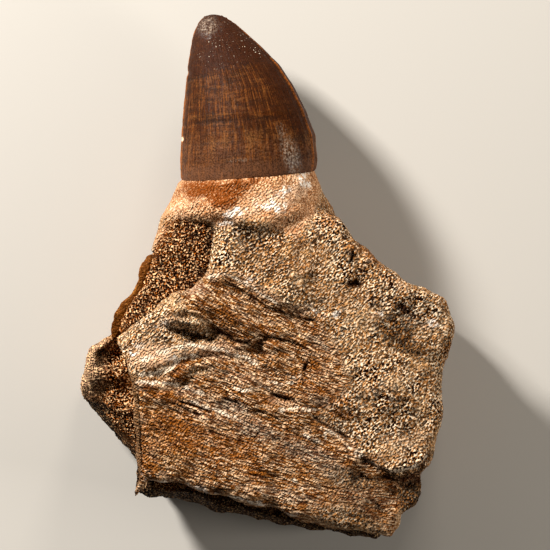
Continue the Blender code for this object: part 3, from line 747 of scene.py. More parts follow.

# %% [markdown]
# Now every number is noted at the points. Stains on fibres fray into streaks, the others into blotches. The
# bottom rim's painted highlight goes into cream and bleach.

# %% Note the bone's stains
normals = normals_of(bone)
edge = 1.3 * straying(points, 2.2, 61)
frayed = points[:, :2] + edge
# The slab's bottom rim catches the light: that is painted as a pale highlight along it, and as pale specks.
BOTTOM_RIM = (-33, -49.8, -20.2, -52.4, -9.5, -55, 1.2, -57.9, 9, -61)
rim_side, rim_ends = along(frayed, BOTTOM_RIM, 3)
painted_rim_highlight = 0.8 * np.exp(-((rim_side / 0.6) ** 2)) * rim_ends
streaks = 0.5 + 0.6 * lumps(fibre_way * (0.8, 1, 1), 1.1, 71)
mottle = 0.5 + 0.5 * rough(points, 1.4, 75)
patchy = np.where(fibrous > 0.5, streaks, mottle)
broken = smooth(0.5 + 1.2 * rough(points, 0.9, 83, 2))
upward = 0.2 + 0.8 * smooth((normals[:, 2] - 0.05) / 0.45)
wisps = np.maximum.reduce([crease(points[:, :2] + 0.3 * edge, *row) for row in WISPS])
rim_highlight_specks = painted_rim_highlight * smooth((z - 29.5) / 1.5) * smooth(0.6 + 1.2 * rough(points, 1.6, 84, 2))
note(bone, "rust", ovals(frayed, RUST) * (0.35 + 0.9 * patchy))
note(bone, "cream_and_rim_light", np.maximum(ovals(frayed, CREAM), painted_rim_highlight * (z > 29)) * (0.4 + 0.8 * mottle) * upward)
note(bone, "wisp", wisps * (0.3 + broken))
note(bone, "ash", ovals(frayed, ASH) * (0.4 + 0.8 * patchy) * upward)
# soot here is partly a dark stain and partly painted shade in hollows, under the collar's lip and round the fold
note(bone, "soot_and_shade", ovals(frayed, SOOT_AND_SHADE) * (0.35 + 0.9 * mottle) * (1 - strip))
note(bone, "strip", strip * (0.6 + 0.5 * mottle))
note(bone, "bleach_and_highlight", np.maximum(ovals(frayed, BLEACH_AND_HIGHLIGHTS) * (0.15 + broken), rim_highlight_specks))
note(bone, "scorch", ovals(frayed, SCORCH) * (0.75 + 0.5 * mottle))
print_notes(bone)

# %% [markdown]
# The textures are noted too. Where fibres are ground down they turn grainy. Every depth that makes a shadow is
# darkened as a *pit*: painted shade in pores, cracks, splits and the steep faces of ledges, over the dark mineral
# dust that a fossil's pits hold. The two *ways* are places that the material lays its patterns out on: one is
# drawn out along the fibres, the other along the struts.

# %% Note the bone's textures
GRAINY = ((-24, -41, 14, 9, -15, 1), (20, -54, 12, 6, -12, 0.9), (0, -50, 9, 4, -12, 0.6))
grainy = np.maximum(ovals(frayed, GRAINY), 0.45) * np.clip(0.8 + 0.5 * rough(points, 5, 86), 0, 1.1)
note(bone, "cortex", cortex)
note(bone, "spongy", spongy * np.clip(0.76 + 0.5 * rough(points, 4, 81), 0.35, 1))
note(bone, "grainy", grainy * fibrous)
note(bone, "fibrous", fibrous * (1 - 0.45 * grainy))
# painted shade: pores, splits, cracks and the steep faces of ledges are darkened where shadow falls
painted_pit_shade = 0.4 * spongy * smooth((-pore - 0.05) / 0.6) + 0.75 * fibrous * split + smooth(-sunk / 0.5) * face
painted_pit_shade += 0.8 * smooth((-carved - 0.35) / 0.5) * face * smooth((0.86 - normals[:, 2]) / 0.25)
note(bone, "painted_pit_shade", painted_pit_shade * (0.6 + 0.6 * mottle))
note_way(bone, "fibre_way", fibre_way * (1.6, 1, 1))
note_way(bone, "strut_way", np.stack([(x + y) * 0.72 / math.sqrt(2), (x - y) / math.sqrt(2), z], axis=1))
pressed_against(bone, frame["nodes"]["tooth_crown"], reach=0.8, overlap=0.15)
settle(bone, "jaw_bone")

# %% [markdown]
# ## The sandy rock
#
# The rock is sand, fish bone and tooth crumbs cemented by phosphate. It fills the open socket beside the tooth
# and makes the whole back of the piece. Freshly exposed it is coarse and orange; the lump at the far left is pale
# and firmer; its broken underside, turned away from the lamps, is painted dark as shade. The back was ground flat
# so that the piece lies steadily.
#
# The solid's socket is only partly filled. The rest is heaped up here: a slab on the socket's outline is drawn
# up to the levels of the sand, and then remeshed into one body with the rock.

# %% The rock's skin, with the socket heaped full
SAND = (
    -13, 14.6, -12.4, 8, -13.6, 2.4, -15.6, -1.4, -19, -3.2, -23, -5, -26.6, -8.8, -31, -11, -36, -14.6,
    -37.6, -14.6, -34.4, -7, -30.6, -3, -28.4, 3, -26.2, 9, -23.4, 14,
)
# x, y and the level of the sand there
LEVELS = (
    (-21, 12.8, 28.2), (-17.5, 12, 30.4), (-14.6, 7, 30.8), (-15.4, 1, 30.2), (-18.6, -2.6, 30.4),
    (-14.4, 12.4, 31), (-14.2, 4, 30.8), (-23.5, -5.6, 30.6), (-28.5, -9.4, 30.2), (-33, -12.6, 28.8),
    (-36.4, -14.4, 25.4), (-34, -8.4, 25.4), (-30.2, -2.6, 26.4), (-27.6, 2.2, 26.6), (-26, 7.4, 26.4),
    (-24, 11, 26), (-21.4, 5, 30.4), (-25, -2, 29.4), (-29.6, -6.6, 28),
)
# The outline of the underside, painted near-black as shade
PAINTED_SHADE_UNDERSIDE = (
    -60, -31.5, -46.5, -31.2, -42.4, -30.6, -39.4, -33.5, -37.8, -41, -33.6, -44, -28, -47, -28, -60, -60, -60,
)
LEFT = (-52, -8, -34, -8, -31, -30, -31, -52, -40, -52, -52, -34)

HEAP_FLOOR = 19
HEAP_UP = 6
SEEN_ABOVE = 12

rock = skin_of("sand_rock", "sand_rock_skin")
outline = np.reshape(SAND, (-1, 2))
bpy.ops.mesh.primitive_circle_add(vertices=len(outline), radius=0.01, fill_type="NGON", location=(0, 0, 0))
heap = bpy.context.object
only(heap)
move_points(heap, np.column_stack([outline, np.full(len(outline), HEAP_FLOOR)]))
bpy.ops.object.mode_set(mode="EDIT")
bpy.ops.mesh.select_all(action="SELECT")
bpy.ops.mesh.extrude_region_move(TRANSFORM_OT_translate={"value": (0, 0, HEAP_UP * MM)})
bpy.ops.mesh.select_all(action="SELECT")
bpy.ops.mesh.normals_make_consistent(inside=False)
bpy.ops.object.mode_set(mode="OBJECT")
apply_modifier(heap, "REMESH", mode="VOXEL", voxel_size=0.8 * MM)
points = points_of(heap)
x, y, z = points.T
nearness = np.stack([1 / (np.hypot(x - row[0], y - row[1]) ** 2 + 1) for row in LEVELS], axis=1)
surface_level = nearness @ np.array([row[2] for row in LEVELS]) / nearness.sum(axis=1)
z[:] = HEAP_FLOOR + (z - HEAP_FLOOR) / HEAP_UP * (surface_level - HEAP_FLOOR)
move_points(heap, points)
only(rock)
heap.select_set(True)
bpy.ops.object.join()
even_squares(rock, 0.66, 5)
start = points_of(rock)
looked_at = np.maximum(inside(start[:, :2], SAND, 3), inside(start[:, :2], LEFT, 1)) > 0.2
cut_finer(rock, looked_at & (start[:, 2] > SEEN_ABOVE) & (normals_of(rock)[:, 2] > 0.05))

# %% [markdown]
# Sand is grains of two sizes: coarse ones nearly a millimetre across, and finer ones between. Only the coarse
# ones are shaped one by one; between them the ground is sunk.

# %% Work the rock
GROUND_FLAT_BELOW = 0.45
points = points_of(rock)
points[:, 0] += wall_drawn_in(points)
move_points(rock, points)
normals = normals_of(rock)
x, y, z = points.T
off_the_ground = smooth(z / 1.2)
_, gap, number = grains(points, 0.85, 131)
coarse = smooth((0.34 - gap) / 0.34)
fine = rough(points, 0.5, 137, 2)
flat = points[:, :2] + 1.2 * straying(points, 2.4, 141)
sandy = inside(flat, SAND, 2.5) * smooth((z - 20) / 4)
PALE = ((-44.4, -18.5, 5.4, 11, 12, 1), (-46, -25, 4, 8, 5, 1), (-41, -12, 5, 3.6, 35, 1))
pale = ovals(flat, PALE) * smooth((z - 1) / 3)
orange = ovals(flat, ((-36.4, -34.6, 5.4, 12.5, 8, 1.3), (-37.2, -22, 4.8, 7, 0, 1.3))) * smooth((z - 13) / 4)
# painted shade: low faces that turn away from the lamps are darkened, and the underside outline is made
# near-black
painted_rock_shade = smooth((-46 - y + 5 * rough(points, 7, 145)) / 9) * smooth((0.25 - normals[:, 1]) / 0.5)
painted_rock_shade = np.maximum(inside(flat, PAINTED_SHADE_UNDERSIDE, 2), painted_rock_shade * 0.85)

lift = (0.1 - 0.42 * coarse) * (0.4 + 0.9 * sandy + 0.5 * orange) + 0.14 * fine
lift += 0.3 * rough(points, 5, 151) + 0.2 * rough(points, 1.7, 155)
lift += 0.9 * rough(points, 11, 157, 2) * smooth((20 - z) / 5) * smooth((z - 2) / 5)
lift -= 1.1 * ovals(flat, ((-40.4, -20.2, 3.4, 3.4, -20, 1), (-38.4, -17.6, 2, 2, 0, 0.8)))
points += normals * (lift * off_the_ground)[:, None]
HOLLOW_EDGE = (-42.2, -19, -41.4, -22.4, -40, -24.9, -37.4, -26.4, -34.6, -26.6)
groove = crease(flat * 0.3 + points[:, :2] * 0.7, HOLLOW_EDGE, 0.7, 0.35)
z += off_the_ground * groove
z[z < GROUND_FLAT_BELOW] = 0
move_points(rock, points)
print(f"rock relief from {lift.min():.2f} to {lift.max():.2f} mm")

# %% [markdown]
# The bed that was cut in the solid for the bone is pressed shut here, so that the sand meets the bone without a
# slot. Loose and bright say how strongly the single grains stand out in dark and in light. The dark mask is
# painted shade: the underside and the lower faces turned from the lamps, the hollow in the pale lump and the sand
# along the bone's edge. The pits are painted shade in the gaps between grains and in the groove at the hollow's
# edge.

# %% Note the rock's stains and painted shade, and close its seams
# painted shade: the hollow in the pale lump, and the sand along the bone's edge
SHADE = ((-40.6, -19.4, 2.8, 1.8, -15, 0.8), (-38.6, -22.6, 1, 2.2, 0, 0.4), (-42.4, -21.6, 0.9, 2.6, 8, 0.6))
PAINTED_SHADE_BORDER = ((-14.6, 8, 1.6, 7, 4, 0.5), (-15.6, 0.4, 2, 4, -20, 0.5), (-19.5, -3.6, 4, 1.4, 20, 0.4))
mottle = 0.5 + 0.5 * rough(points, 1.6, 161)
seam_side = 0.55 * smooth((z - 11 + 5 * rough(points, 4, 147)) / 5) * smooth((x + 10) / 12)
note(rock, "pale", np.maximum(pale, seam_side) * (0.5 + 0.7 * mottle))
note(rock, "orange", np.maximum(orange, sandy) * (0.4 + 0.8 * mottle))
note(rock, "painted_rock_shade", np.maximum(painted_rock_shade, ovals(flat, SHADE + PAINTED_SHADE_BORDER)) * (0.6 + 0.6 * mottle))
note(rock, "number", number)
note(rock, "loose", np.maximum.reduce([sandy, 0.8 * orange, 0.9 * painted_rock_shade, np.full(len(points), 0.4)]))
note(rock, "bright", np.maximum.reduce([sandy, orange, pale, 0.8 * painted_rock_shade, np.full(len(points), 0.5)]))
# painted shade in the gaps between grains and in the groove at the hollow's edge
note(rock, "painted_pit_shade", coarse * (0.5 + 0.5 * sandy) + 0.5 * smooth(-fine) + 0.6 * smooth(-groove / 0.4))
print_notes(rock)
pressed_against(rock, bone, reach=1.2, overlap=0.25)
settle(rock, "sand_rock")

# %% [markdown]
# ## The socket splinter
#
# A leaf of the jaw's outer bone still stands at the left of the socket. Cortical bone is dense, so the leaf is
# smooth and slightly glossy, the colour of dark honey, with a chipped rim.

# %% The splinter's skin
splinter = skin_of("socket_splinter", "socket_splinter_skin")
even_squares(splinter, 0.32, 10)
points = points_of(splinter)
normals = normals_of(splinter)
chipped = smooth((lumps(points, 2.2, 171) - 0.15) / 0.3) * smooth((points[:, 2] - 20) / 3)
rim = smooth((-normals[:, 0] - 0.1) / 0.5)
lift = 0.1 * rough(points, 2.4, 175) + 0.03 * rough(points, 0.7, 177) - 0.25 * chipped * rim
points += normals * lift[:, None]
move_points(splinter, points)
note(splinter, "rim", rim * smooth((points[:, 2] - 22.5) / 2.5) * (0.5 + 0.5 * rough(points, 1.5, 181)))
note(splinter, "wear", 0.5 + 0.5 * rough(points, 1.2, 185))
print_notes(splinter)
pressed_against(rock, splinter, reach=1.1, overlap=0.2)
settle(splinter, "socket_splinter")

# %% [markdown]
# ## The crown
#
# Enamel is the hardest part of the animal and has kept its gloss. The crown's skin is made like the others,
# only finer, and rubbed until no facet is left. It has fine lengthwise ribs, two cutting edges called carinae,
# and a few chips on the left one. Its lower rim is drawn down into the bone, as a tooth sits in its collar.

# %% The crown's skin
crown = skin_of("tooth_crown", "tooth_crown_enamel")
even_squares(crown, 0.38, 12)
start = points_of(crown)
cut_finer(crown, (start[:, 2] > 17) & (normals_of(crown)[:, 2] > -0.05))

# %% [markdown]
# The ribs follow the surface. Their pattern is laid out on a straight round column as wide as the crown's base:
# each point keeps its turn round the crown, so the ribs draw together towards the tip as real ones do. The
# crown's axis leans to the left and sinks as it climbs.

# %% The crown's ribs and rings
BASE_LINE = 24.9
AXIS = ((BASE_LINE, -4.65, 19), (35, -4.8, 18.8), (47, -6.8, 17.9), (57, -10.2, 16.5), (65.7, -13.6, 15))
COLUMN_RADIUS = 16
points = points_of(crown)
normals = normals_of(crown)
x, height, z = points.T
levels, middles_x, middles_z = zip(*AXIS)
middle_x = np.interp(height, levels, middles_x)
middle_z = np.interp(height, levels, middles_z)
angle = np.arctan2(z - middle_z, x - middle_x)
column = COLUMN_RADIUS * np.stack([np.cos(angle), np.sin(angle)], axis=1)
rib_way = np.column_stack([column, height * 0.15])


def ridge_at(turn, width):
    """1 on a line that runs up the crown at that turn round it, falling off over width in radians."""
    away = (angle - turn + math.pi) % (2 * math.pi) - math.pi
    return np.exp(-((away / width) ** 2))


def band(level, slope, half_width):
    """A line round the crown at that height on its left side, climbing by slope to the right."""
    return np.exp(-(((height - level - slope * (x + 20)) / half_width) ** 2))


RIGHT_EDGE = math.radians(19)
LEFT_EDGE = math.pi
ribs = lumps(rib_way, 0.9, 201)
taper = 1 - 0.6 * np.clip((height - 24) / 41, 0, 1)
lift = 0.05 * ribs * taper + 0.02 * lumps(rib_way, 0.45, 203)
lift += 0.02 * rough(points, 0.6, 205) + 0.05 * rough(points, 3, 207)
print(f"ribs stand {lift.max():.2f} mm proud at most")

# %% [markdown]
# The left edge has a notch and a small chip, and a faint ripple runs down beside the right one. Above the base
# line the relief fades in; below it the rim is drawn down into the bone.

# %% Work the crown
lift += 0.22 * ridge_at(RIGHT_EDGE, 0.035) - 0.1 * ridge_at(RIGHT_EDGE + 0.1, 0.06)
lift += 0.16 * ridge_at(LEFT_EDGE, 0.035)
notch = np.exp(-(((height - 50.7) / 0.8) ** 2)) * ridge_at(LEFT_EDGE, 0.22)
chip = np.exp(-(((height - 34) / 0.55) ** 2)) * ridge_at(LEFT_EDGE - math.radians(2), 0.09)
ripple = ridge_at(0.05, 0.25) * np.sin(height * 0.95) * smooth((40 - height) / 6)
lift += -0.3 * notch - 0.3 * chip + 0.16 * ripple
lift -= 0.05 * (band(48.9, 0.27, 0.5) + band(37.6, 0.06, 0.6)) - 0.03 * band(39.3, 0.06, 0.3)
above = height - BASE_LINE - 0.075 * (x + 4.6)
points += normals * (lift * smooth((above - 0.2) / 0.8))[:, None]
height -= (0.5 - 0.016 * (x + 21)) * (1 - smooth((above + 0.4) / 1.2))
move_points(crown, points)
print(f"crown relief from {lift.min():.2f} to {lift.max():.2f} mm")

# %% [markdown]
# Growth rings cross the crown as faint bands that climb to the right, and the tip is darker. Two marks are
# painted light: the orange glow of the thin edges, as if light came through them, and the painted shade on the
# right flank, which turns away from the main lamp. These are noted for the enamel's material.

# %% Note the crown's bands
# strength, height on the left side, slope and half width
DARK_BANDS = (
    (1, 48.6, 0.27, 0.7), (0.5, 45.4, 0.12, 0.9), (0.9, 37.7, 0.06, 0.8), (0.8, 32.3, 0.05, 0.5),
    (0.4, 35.6, 0.05, 0.5), (0.5, 29.6, 0.05, 0.5),
)
LIGHT_BANDS = (
    (0.5, 39.3, 0.06, 0.35), (0.5, 47, 0.24, 0.9), (0.6, 27.9, 0.07, 0.3), (0.4, 33.4, 0.05, 0.5),
    (0.45, 42.6, 0.08, 0.5), (0.8, 32, 0.05, 4.6),
)
dark_band, light_band = (
    np.maximum.reduce([row[0] * band(*row[1:]) for row in bands]) for bands in (DARK_BANDS, LIGHT_BANDS)
)
wobble = 0.55 + 0.45 * rough(points, 4, 215)
tip = smooth((height - 49.4 - 0.27 * (x + 14) + rough(points, 2.5, 211)) / 2.2)
note(crown, "tip", tip)
note(crown, "dark_band", dark_band * wobble)
note(crown, "light_band", light_band * wobble * smooth(rough(rib_way, 1.6, 217) + 0.6))
base = smooth((29.6 + 0.07 * (x + 5) - height) / 3.2)
note(crown, "base", np.maximum(base, 0.45 * smooth((40 - height) / 9)))
girth = np.interp(height, levels, (16.6, 16.4, 12.8, 7.4, 1))
# painted shade: the right flank, turned away from the main lamp, is darkened in the colour
painted_flank_shade = smooth((x - (middle_x + 0.36 * girth) - 0.8 * ribs) / (0.3 * girth))
note(crown, "painted_flank_shade", painted_flank_shade * smooth((height - 33) / 8))
# painted glow: the thin cutting edges are coloured orange as if light came through them
edge_glow = np.maximum(ridge_at(LEFT_EDGE, 0.1), 0.8 * ridge_at(RIGHT_EDGE, 0.06))
edge_glow = np.maximum(edge_glow * (0.75 + 0.4 * rough(points, 2, 219)), 0.6 * ridge_at(-0.1, 0.18))
note(crown, "painted_edge_glow", edge_glow * (1 - 0.25 * tip))
note(crown, "chip", np.maximum(chip, 0.2 * notch) * 1.2 * smooth(0.6 + 1.4 * rough(points, 0.7, 221, 2)))
print_notes(crown)

# %% [markdown]
# Last, the places on the front where the light catches: painted glints near the tip, polished enamel under a real
# clear coat, and painted highlights, pale strokes along the ribs, mostly at the lower right and at the tip.

# %% Note the crown's gloss and painted highlights
GLOSS_AND_PAINTED_HIGHLIGHTS = {
    # The first and last entries are painted highlights in the colour; gloss is a real clear coat.
    "painted_glint": ((-12, 57, 7, 7, 0, 0.4), (-7.5, 58.4, 6.5, 3.2, -28, 1), (-3.6, 56.6, 3.6, 1.6, -35, 1)),
    "gloss": ((-14.8, 62, 4, 3.6, 0, 1), (5.9, 29.6, 2.8, 4.8, 14, 1), (3.8, 35, 1.6, 3, 16, 0.3)),
    "painted_highlight": (
        (5.7, 29.8, 2.6, 5.4, 16, 1), (3.6, 35, 1.6, 3.4, 16, 0.3), (-15.2, 62.6, 2.8, 2.8, 20, 0.8),
        (-7, 28.4, 4, 0.5, 4, 0.4),
    ),
}
for name, places in GLOSS_AND_PAINTED_HIGHLIGHTS.items():
    note(crown, name, ovals(points[:, :2], places) * smooth((z - middle_z) / 2))
note_way(crown, "ring_way", np.column_stack([column * 0.15, height - 0.08 * x]))
note_way(crown, "rib_way", rib_way * (1, 1, 0.6))
settle(crown, "tooth_crown")
print(f"the crown is {np.ptp(height):.1f} mm tall")

# %% [markdown]
# ## Materials
#
# A material here is a small network of nodes ending in the Principled shader. One helper adds any node with
# its settings and links, and one turns a hex colour into the linear numbers that Blender calculates with.

# %% Colours and nodes
def linear(hex_colour):
    channels = [int(hex_colour[i : i + 2], 16) / 255 for i in (1, 3, 5)]
    return (*[c / 12.92 if c <= 0.04045 else ((c + 0.055) / 1.055) ** 2.4 for c in channels], 1)


def add_node(material, kind, settings, sockets):
    """Adds a shader node. Each socket, by name or number, gets a plain value or a link from another's output."""
    made = material.node_tree.nodes.new("ShaderNode" + kind)
    for name, value in settings.items():
        setattr(made, name, value)
    for name, value in sockets.items():
        if isinstance(value, bpy.types.NodeSocket):
            material.node_tree.links.new(value, made.inputs[name])
        else:
            made.inputs[name].default_value = value
    return made


print("rust in linear light:", [round(c, 3) for c in linear("#a3653b")[:3]])

# %% [markdown]
# Every finish of this fossil needs specks of a real size, and patterns that show only where a kept number is
# high. Specks are clouds of noise with their contrast turned up: the closer low and high are, the sharper.

# %% Specks
def specks(material, size_mm, detail, low, high, seed, way=None):
    """Specks of that size, 0 where the noise is below low and 1 above high, straight or laid out on a way."""
    if way:
        place = add_node(material, "Attribute", {"attribute_name": way}, {}).outputs["Vector"]
    else:
        place = add_node(material, "TexCoord", {}, {}).outputs["Object"]
    shifted = add_node(material, "VectorMath", {"operation": "ADD"}, {0: place, 1: (seed, seed, seed)})
    scale = 1 / size_mm if way else 1 / (size_mm * MM)
    sockets = {"Vector": shifted.outputs[0], "Scale": scale, "Detail": detail}
    cloud = add_node(material, "TexNoise", {}, sockets).outputs["Fac"]
    sockets = {"Value": cloud, "From Min": low, "From Max": high}
    return add_node(material, "MapRange", {}, sockets).outputs["Result"]


def masked(material, name, pattern):
    """A pattern where the kept number is 1, and nothing where it is 0."""
    kept = add_node(material, "Attribute", {"attribute_name": name}, {}).outputs["Fac"]
    return add_node(material, "Math", {"operation": "MULTIPLY"}, {0: kept, 1: pattern}).outputs[0]


# %% [markdown]
# A finish is then stain over stain, each with its mask, its strength and its colour, and a fine relief.

# %% Stains and finishes
def stained(material, ground, grit, stains):
    """Lays stains over a ground colour.

    A stain is the name of a kept number or None, specks or None, a strength and a colour. Specks with a name show
    where its number is high. A name alone is the whole mask, and the grit frays its edges.
    """
    colour = linear(ground)
    for name, pattern, strength, hex_colour in stains:
        if pattern:
            mask = specks(material, *pattern)
            if name:
                mask = masked(material, name, mask)
        else:
            frayed = add_node(material, "Math", {"operation": "MULTIPLY_ADD"}, {0: grit, 1: 1, 2: 0.5})
            product = masked(material, name, frayed.outputs[0])
            settings = {"interpolation_type": "SMOOTHSTEP"}
            sockets = {"Value": product, "From Min": 0.1, "From Max": 0.9}
            mask = add_node(material, "MapRange", settings, sockets).outputs["Result"]
        weak = add_node(material, "Math", {"operation": "MULTIPLY"}, {0: mask, 1: strength}).outputs[0]
        sockets = {0: weak, 6: colour, 7: linear(hex_colour)}
        colour = add_node(material, "Mix", {"data_type": "RGBA"}, sockets).outputs[2]
    return colour


def finish(piece, name, ground, grit, stains, relief_of, depth_mm, roughness, specular):
    """A new material. relief_of is given it and lays out its fine relief; the other values are plain."""
    material = bpy.data.materials.new(name)
    material.use_nodes = True
    surface = material.node_tree.nodes["Principled BSDF"]
    sockets = {"Height": relief_of(material), "Strength": 1, "Distance": depth_mm * MM}
    relief = add_node(material, "Bump", {}, sockets)
    colour = stained(material, ground, specks(material, *grit), stains)
    material.node_tree.links.new(colour, surface.inputs["Base Color"])
    material.node_tree.links.new(relief.outputs["Normal"], surface.inputs["Normal"])
    surface.inputs["Roughness"].default_value = roughness
    surface.inputs["Specular IOR Level"].default_value = specular
    piece.data.materials.clear()
    piece.data.materials.append(material)
    print(name, "has", len(material.node_tree.nodes), "nodes")
    return material


# %% [markdown]
# **Mineralised bone** is a phosphate, dry and chalky to the eye: hardly any gloss, strong colour differences
# from grain to grain, and black dust in every pore. Real struts and fibres are 0.1 to 0.3 mm wide, which is too
# fine to show here, so both are drawn coarser: pores and struts 0.45 to 0.5 mm wide, threads 0.42 mm wide and
# several times as long. Wider specks make the patchy tones of the whole. The darkest specks take seeds of their
# own, so that a light one doesn't always get a dark twin.
#
# Each row is a kept number, then specks as their size, detail, low, high, seed and way, a strength and a colour.

# %% Mineralised bone
BONE_STAINS = (
    (None, (7, 2, 0.47, 0.57, 22), 0.6, "#9c6634"),
    (None, (3.2, 3, 0.45, 0.62, 2), 0.6, "#a06c3a"),
    (None, (4.5, 1, 0.52, 0.62, 27), 0.5, "#f0c898"),
    ("fibrous", None, 1, "#9c6430"),
    ("fibrous", (1.7, 3, 0.48, 0.62, 3, "fibre_way"), 0.5, "#6a4220"),
    ("fibrous", (1.1, 3, 0.52, 0.66, 4, "fibre_way"), 0.5, "#be8c54"),
    ("fibrous", (2.6, 2, 0.54, 0.64, 31, "fibre_way"), 0.5, "#dcbc98"),
    ("fibrous", (3, 2, 0.47, 0.37, 31, "fibre_way"), 0.6, "#84420c"),
    ("cortex", None, 0.85, "#b6825a"),
    ("fibrous", (0.42, 0, 0.52, 0.57, 5, "fibre_way"), 0.9, "#fcd8b0"),
    ("grainy", (0.46, 0, 0.54, 0.58, 7), 0.8, "#f4c088"),
    ("spongy", (0.45, 0, 0.52, 0.56, 7, "strut_way"), 0.95, "#ffe8c8"),
    ("cortex", (0.42, 1, 0.52, 0.62, 11), 0.6, "#f4d0aa"),
    ("rust", None, 0.82, "#9c560c"),
    ("scorch", None, 0.95, "#6c3208"),
    # cream stain, and the painted highlight along the bottom rim
    ("cream_and_rim_light", None, 0.75, "#f2caa6"),
    ("ash", None, 0.75, "#b4a692"),
    # dark stain and painted shade: under the collar's lip, in the hollow and round the fold
    ("soot_and_shade", None, 0.9, "#241c14"),
    ("soot_and_shade", (1, 1, 0.46, 0.54, 41), 0.8, "#16100a"),
    ("grainy", (0.46, 0, 0.5, 0.44, 7), 0.6, "#744006"),
    ("grainy", (0.46, 0, 0.46, 0.42, 17), 0.9, "#361400"),
    ("fibrous", (0.42, 0, 0.51, 0.44, 5, "fibre_way"), 0.55, "#7c4408"),
    ("fibrous", (0.42, 0, 0.46, 0.42, 15, "fibre_way"), 0.9, "#421a00"),
    ("spongy", (0.45, 0, 0.5, 0.45, 7, "strut_way"), 0.8, "#96602c"),
    ("spongy", (0.5, 0, 0.455, 0.415, 17, "strut_way"), 1, "#1c0600"),
    ("cortex", (1.5, 2, 0.5, 0.36, 15), 0.4, "#8a4c1e"),
    ("cortex", (0.42, 1, 0.49, 0.38, 11), 0.6, "#6a3812"),
    ("strip", None, 0.85, "#6c4e32"),
    # pale patches, partly painted highlights on the collar and along the bottom rim
    ("bleach_and_highlight", None, 0.85, "#fff6ea"),
    # painted shade in pits, cracks and ledge faces
    ("painted_pit_shade", None, 0.85, "#2c0e00"),
    ("wisp", None, 0.85, "#f4e0c6"),
)


def bone_relief(material):
    pores = specks(material, 0.5, 0, 0.3, 0.65, 17, "strut_way")
    threads = specks(material, 0.42, 0, 0.3, 0.65, 15, "fibre_way")
    kept = add_node(material, "Attribute", {"attribute_name": "fibrous"}, {}).outputs["Fac"]
    share = add_node(material, "Math", {"operation": "MULTIPLY"}, {0: kept, 1: 0.5}).outputs[0]
    mixed = add_node(material, "Mix", {"data_type": "FLOAT"}, {0: share, 2: pores, 3: threads}).outputs[0]
    even = add_node(material, "Attribute", {"attribute_name": "cortex"}, {}).outputs["Fac"]
    calm = add_node(material, "Math", {"operation": "MULTIPLY_ADD"}, {0: even, 1: -0.7, 2: 1}).outputs[0]
    return add_node(material, "Math", {"operation": "MULTIPLY"}, {0: mixed, 1: calm}).outputs[0]


GRIT = (0.45, 2, 0.35, 0.65, 1)  # what frays the stains' edges, as specks
finish(bone, "mineralised_bone", "#e0ac74", GRIT, BONE_STAINS, bone_relief, 1.2, 0.85, 0.04)

# %% [markdown]
# **Phosphatic sandstone** is quartz and phosphate grains in an iron-stained cement. Loose-looking grains of
# many shades, half a millimetre wide like coarse sand, sit between near-black gaps with a faint glint.

# %% Phosphatic sandstone
ROCK_STAINS = (
    ("number", None, 0.5, "#b98454"),
    ("orange", None, 1, "#de7808"),
    ("pale", None, 0.95, "#f8cea6"),
    ("bright", (0.5, 0, 0.54, 0.58, 6), 0.95, "#fcd09c"),
    ("loose", (1.6, 2, 0.48, 0.4, 9), 0.55, "#703206"),
    ("loose", (0.5, 0, 0.52, 0.46, 6), 0.85, "#9a4a02"),
    # painted shade on the underside, in the lump's hollow and along the bone's edge
    ("painted_rock_shade", None, 0.96, "#140b05"),
    ("painted_rock_shade", (0.6, 0, 0.6, 0.66, 16), 0.7, "#d2aa78"),
    ("loose", (0.5, 0, 0.45, 0.41, 6), 0.97, "#1c0600"),
    # painted shade in the gaps between grains
    ("painted_pit_shade", None, 0.85, "#1a0700"),
)


def rock_relief(material):
    return specks(material, 0.5, 0, 0.3, 0.65, 6)


finish(rock, "phosphatic_sandstone", "#8e5a2a", GRIT, ROCK_STAINS, rock_relief, 1.2, 0.75, 0.06)

# %% [markdown]
# **Cortical bone**, the dense outer layer of a bone, takes iron evenly and turns a dark honey colour. It is
# smoother than the rest, so it has a soft sheen. Its own pores are too fine to see, so what shows is wear.

# %% Cortical bone
SPLINTER_STAINS = (
    ("wear", None, 0.6, "#683602"),
    ("rim", None, 0.7, "#d08838"),
    (None, (0.9, 3, 0.5, 0.66, 3), 0.6, "#3c1e02"),
    (None, (0.5, 1, 0.6, 0.7, 5), 0.4, "#c08038"),
)


def splinter_relief(material):
    return specks(material, 0.6, 3, 0.3, 0.7, 3)


BROAD_GRIT = (0.6, 2, 0.35, 0.65, 1)
finish(splinter, "cortical_bone", "#5e3204", BROAD_GRIT, SPLINTER_STAINS, splinter_relief, 0.25, 0.55, 0.08)

# %% [markdown]
# ** Enamel** is clear mineral over brown dentine, with a fine gloss. It is never perfectly smooth on a fossil: tiny pits in its relief break its highlights, and the glitter near the tip and the pale strokes at the lower right are painted highlights in its colour. Its ribs are about half a millimetre apart. Patches of the gloss are worn dull, and a thin clear coat shows only where it is still polished.

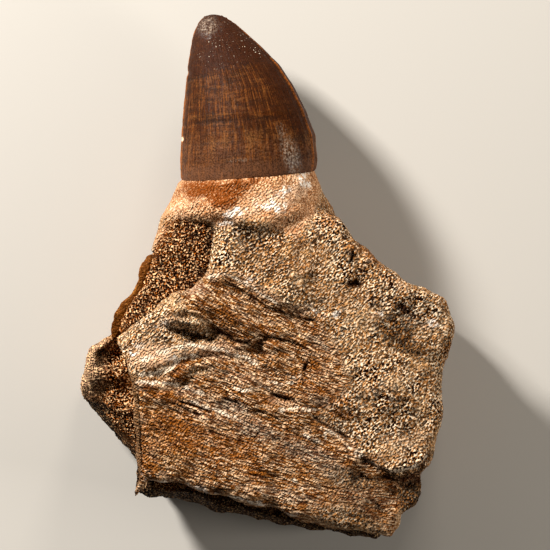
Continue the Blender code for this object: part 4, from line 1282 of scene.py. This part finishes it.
# %% Enamel
ENAMEL_STAINS = (
    (None, (1.8, 3, 0.42, 0.62, 2, "rib_way"), 0.6, "#4e280c"),
    (None, (3.5, 3, 0.45, 0.62, 3), 0.6, "#2e1604"),
    (None, (0.9, 2, 0.54, 0.66, 9, "ring_way"), 0.5, "#6c4220"),
    (None, (0.42, 1, 0.54, 0.6, 4, "rib_way"), 0.55, "#784418"),
    (None, (0.45, 0, 0.47, 0.4, 5, "rib_way"), 0.7, "#281004"),
    (None, (0.8, 3, 0.48, 0.36, 9, "ring_way"), 0.5, "#261408"),
    ("tip", None, 0.85, "#2e1408"),
    ("dark_band", None, 0.8, "#22120a"),
    ("light_band", None, 0.5, "#94602e"),
    # painted shade on the right flank
    ("painted_flank_shade", None, 0.8, "#341604"),
    ("base", None, 0.52, "#6e4a34"),
    (None, (0.38, 0, 0.45, 0.38, 6), 0.5, "#1a0c02"),
    # painted highlights: pale grey strokes along the ribs at the lower right and at the tip
    ("painted_highlight", (0.36, 2, 0.5, 0.66, 13, "rib_way"), 0.5, "#a8927c"),
    ("painted_highlight", (0.55, 1, 0.53, 0.62, 14), 0.5, "#b8a490"),
    # painted glow along the thin edges
    ("painted_edge_glow", None, 0.65, "#a45c20"),
    # painted glints near the tip
    ("painted_glint", (0.45, 1, 0.7, 0.74, 7), 0.95, "#fff0d8"),
    ("chip", None, 1, "#ecd0a8"),
)


def enamel_relief(material):
    fine = specks(material, 0.45, 3, 0.3, 0.7, 6)
    lines = specks(material, 0.42, 2, 0.3, 0.7, 5, "rib_way")
    return add_node(material, "Mix", {"data_type": "FLOAT"}, {0: 0.6, 2: fine, 3: lines}).outputs[0]


FINE_GRIT = (0.5, 3, 0.35, 0.65, 1)
enamel = finish(crown, "fossil_enamel", "#3e1c06", FINE_GRIT, ENAMEL_STAINS, enamel_relief, 0.1, 0.5, 0.05)
surface = enamel.node_tree.nodes["Principled BSDF"]
wear = specks(enamel, 1.2, 3, 0.35, 0.65, 8)
dulled = add_node(enamel, "MapRange", {}, {"Value": wear, "To Min": 0.42, "To Max": 0.6})
enamel.node_tree.links.new(dulled.outputs["Result"], surface.inputs["Roughness"])
polish = masked(enamel, "gloss", specks(enamel, 0.5, 3, 0.42, 0.6, 6))
enamel.node_tree.links.new(polish, surface.inputs["Coat Weight"])
surface.inputs["Coat Roughness"].default_value = 0.3
surface.inputs["Coat IOR"].default_value = 1.6

# %% [markdown]
# The floor is a plain pale sheet of matt card.

# %% Pale card
card = bpy.data.materials.new("pale_card")
card.use_nodes = True
card.node_tree.nodes["Principled BSDF"].inputs["Base Color"].default_value = linear("#bfbcb6")
card.node_tree.nodes["Principled BSDF"].inputs["Roughness"].default_value = 0.9
floor.data.materials.append(card)
print("the floor has", floor.data.materials[0].name)

# %% [markdown]
# ## Finish
#
# The selection is cleared and the scene is brought up to date.

# %% Finish
bpy.ops.object.select_all(action="DESELECT")
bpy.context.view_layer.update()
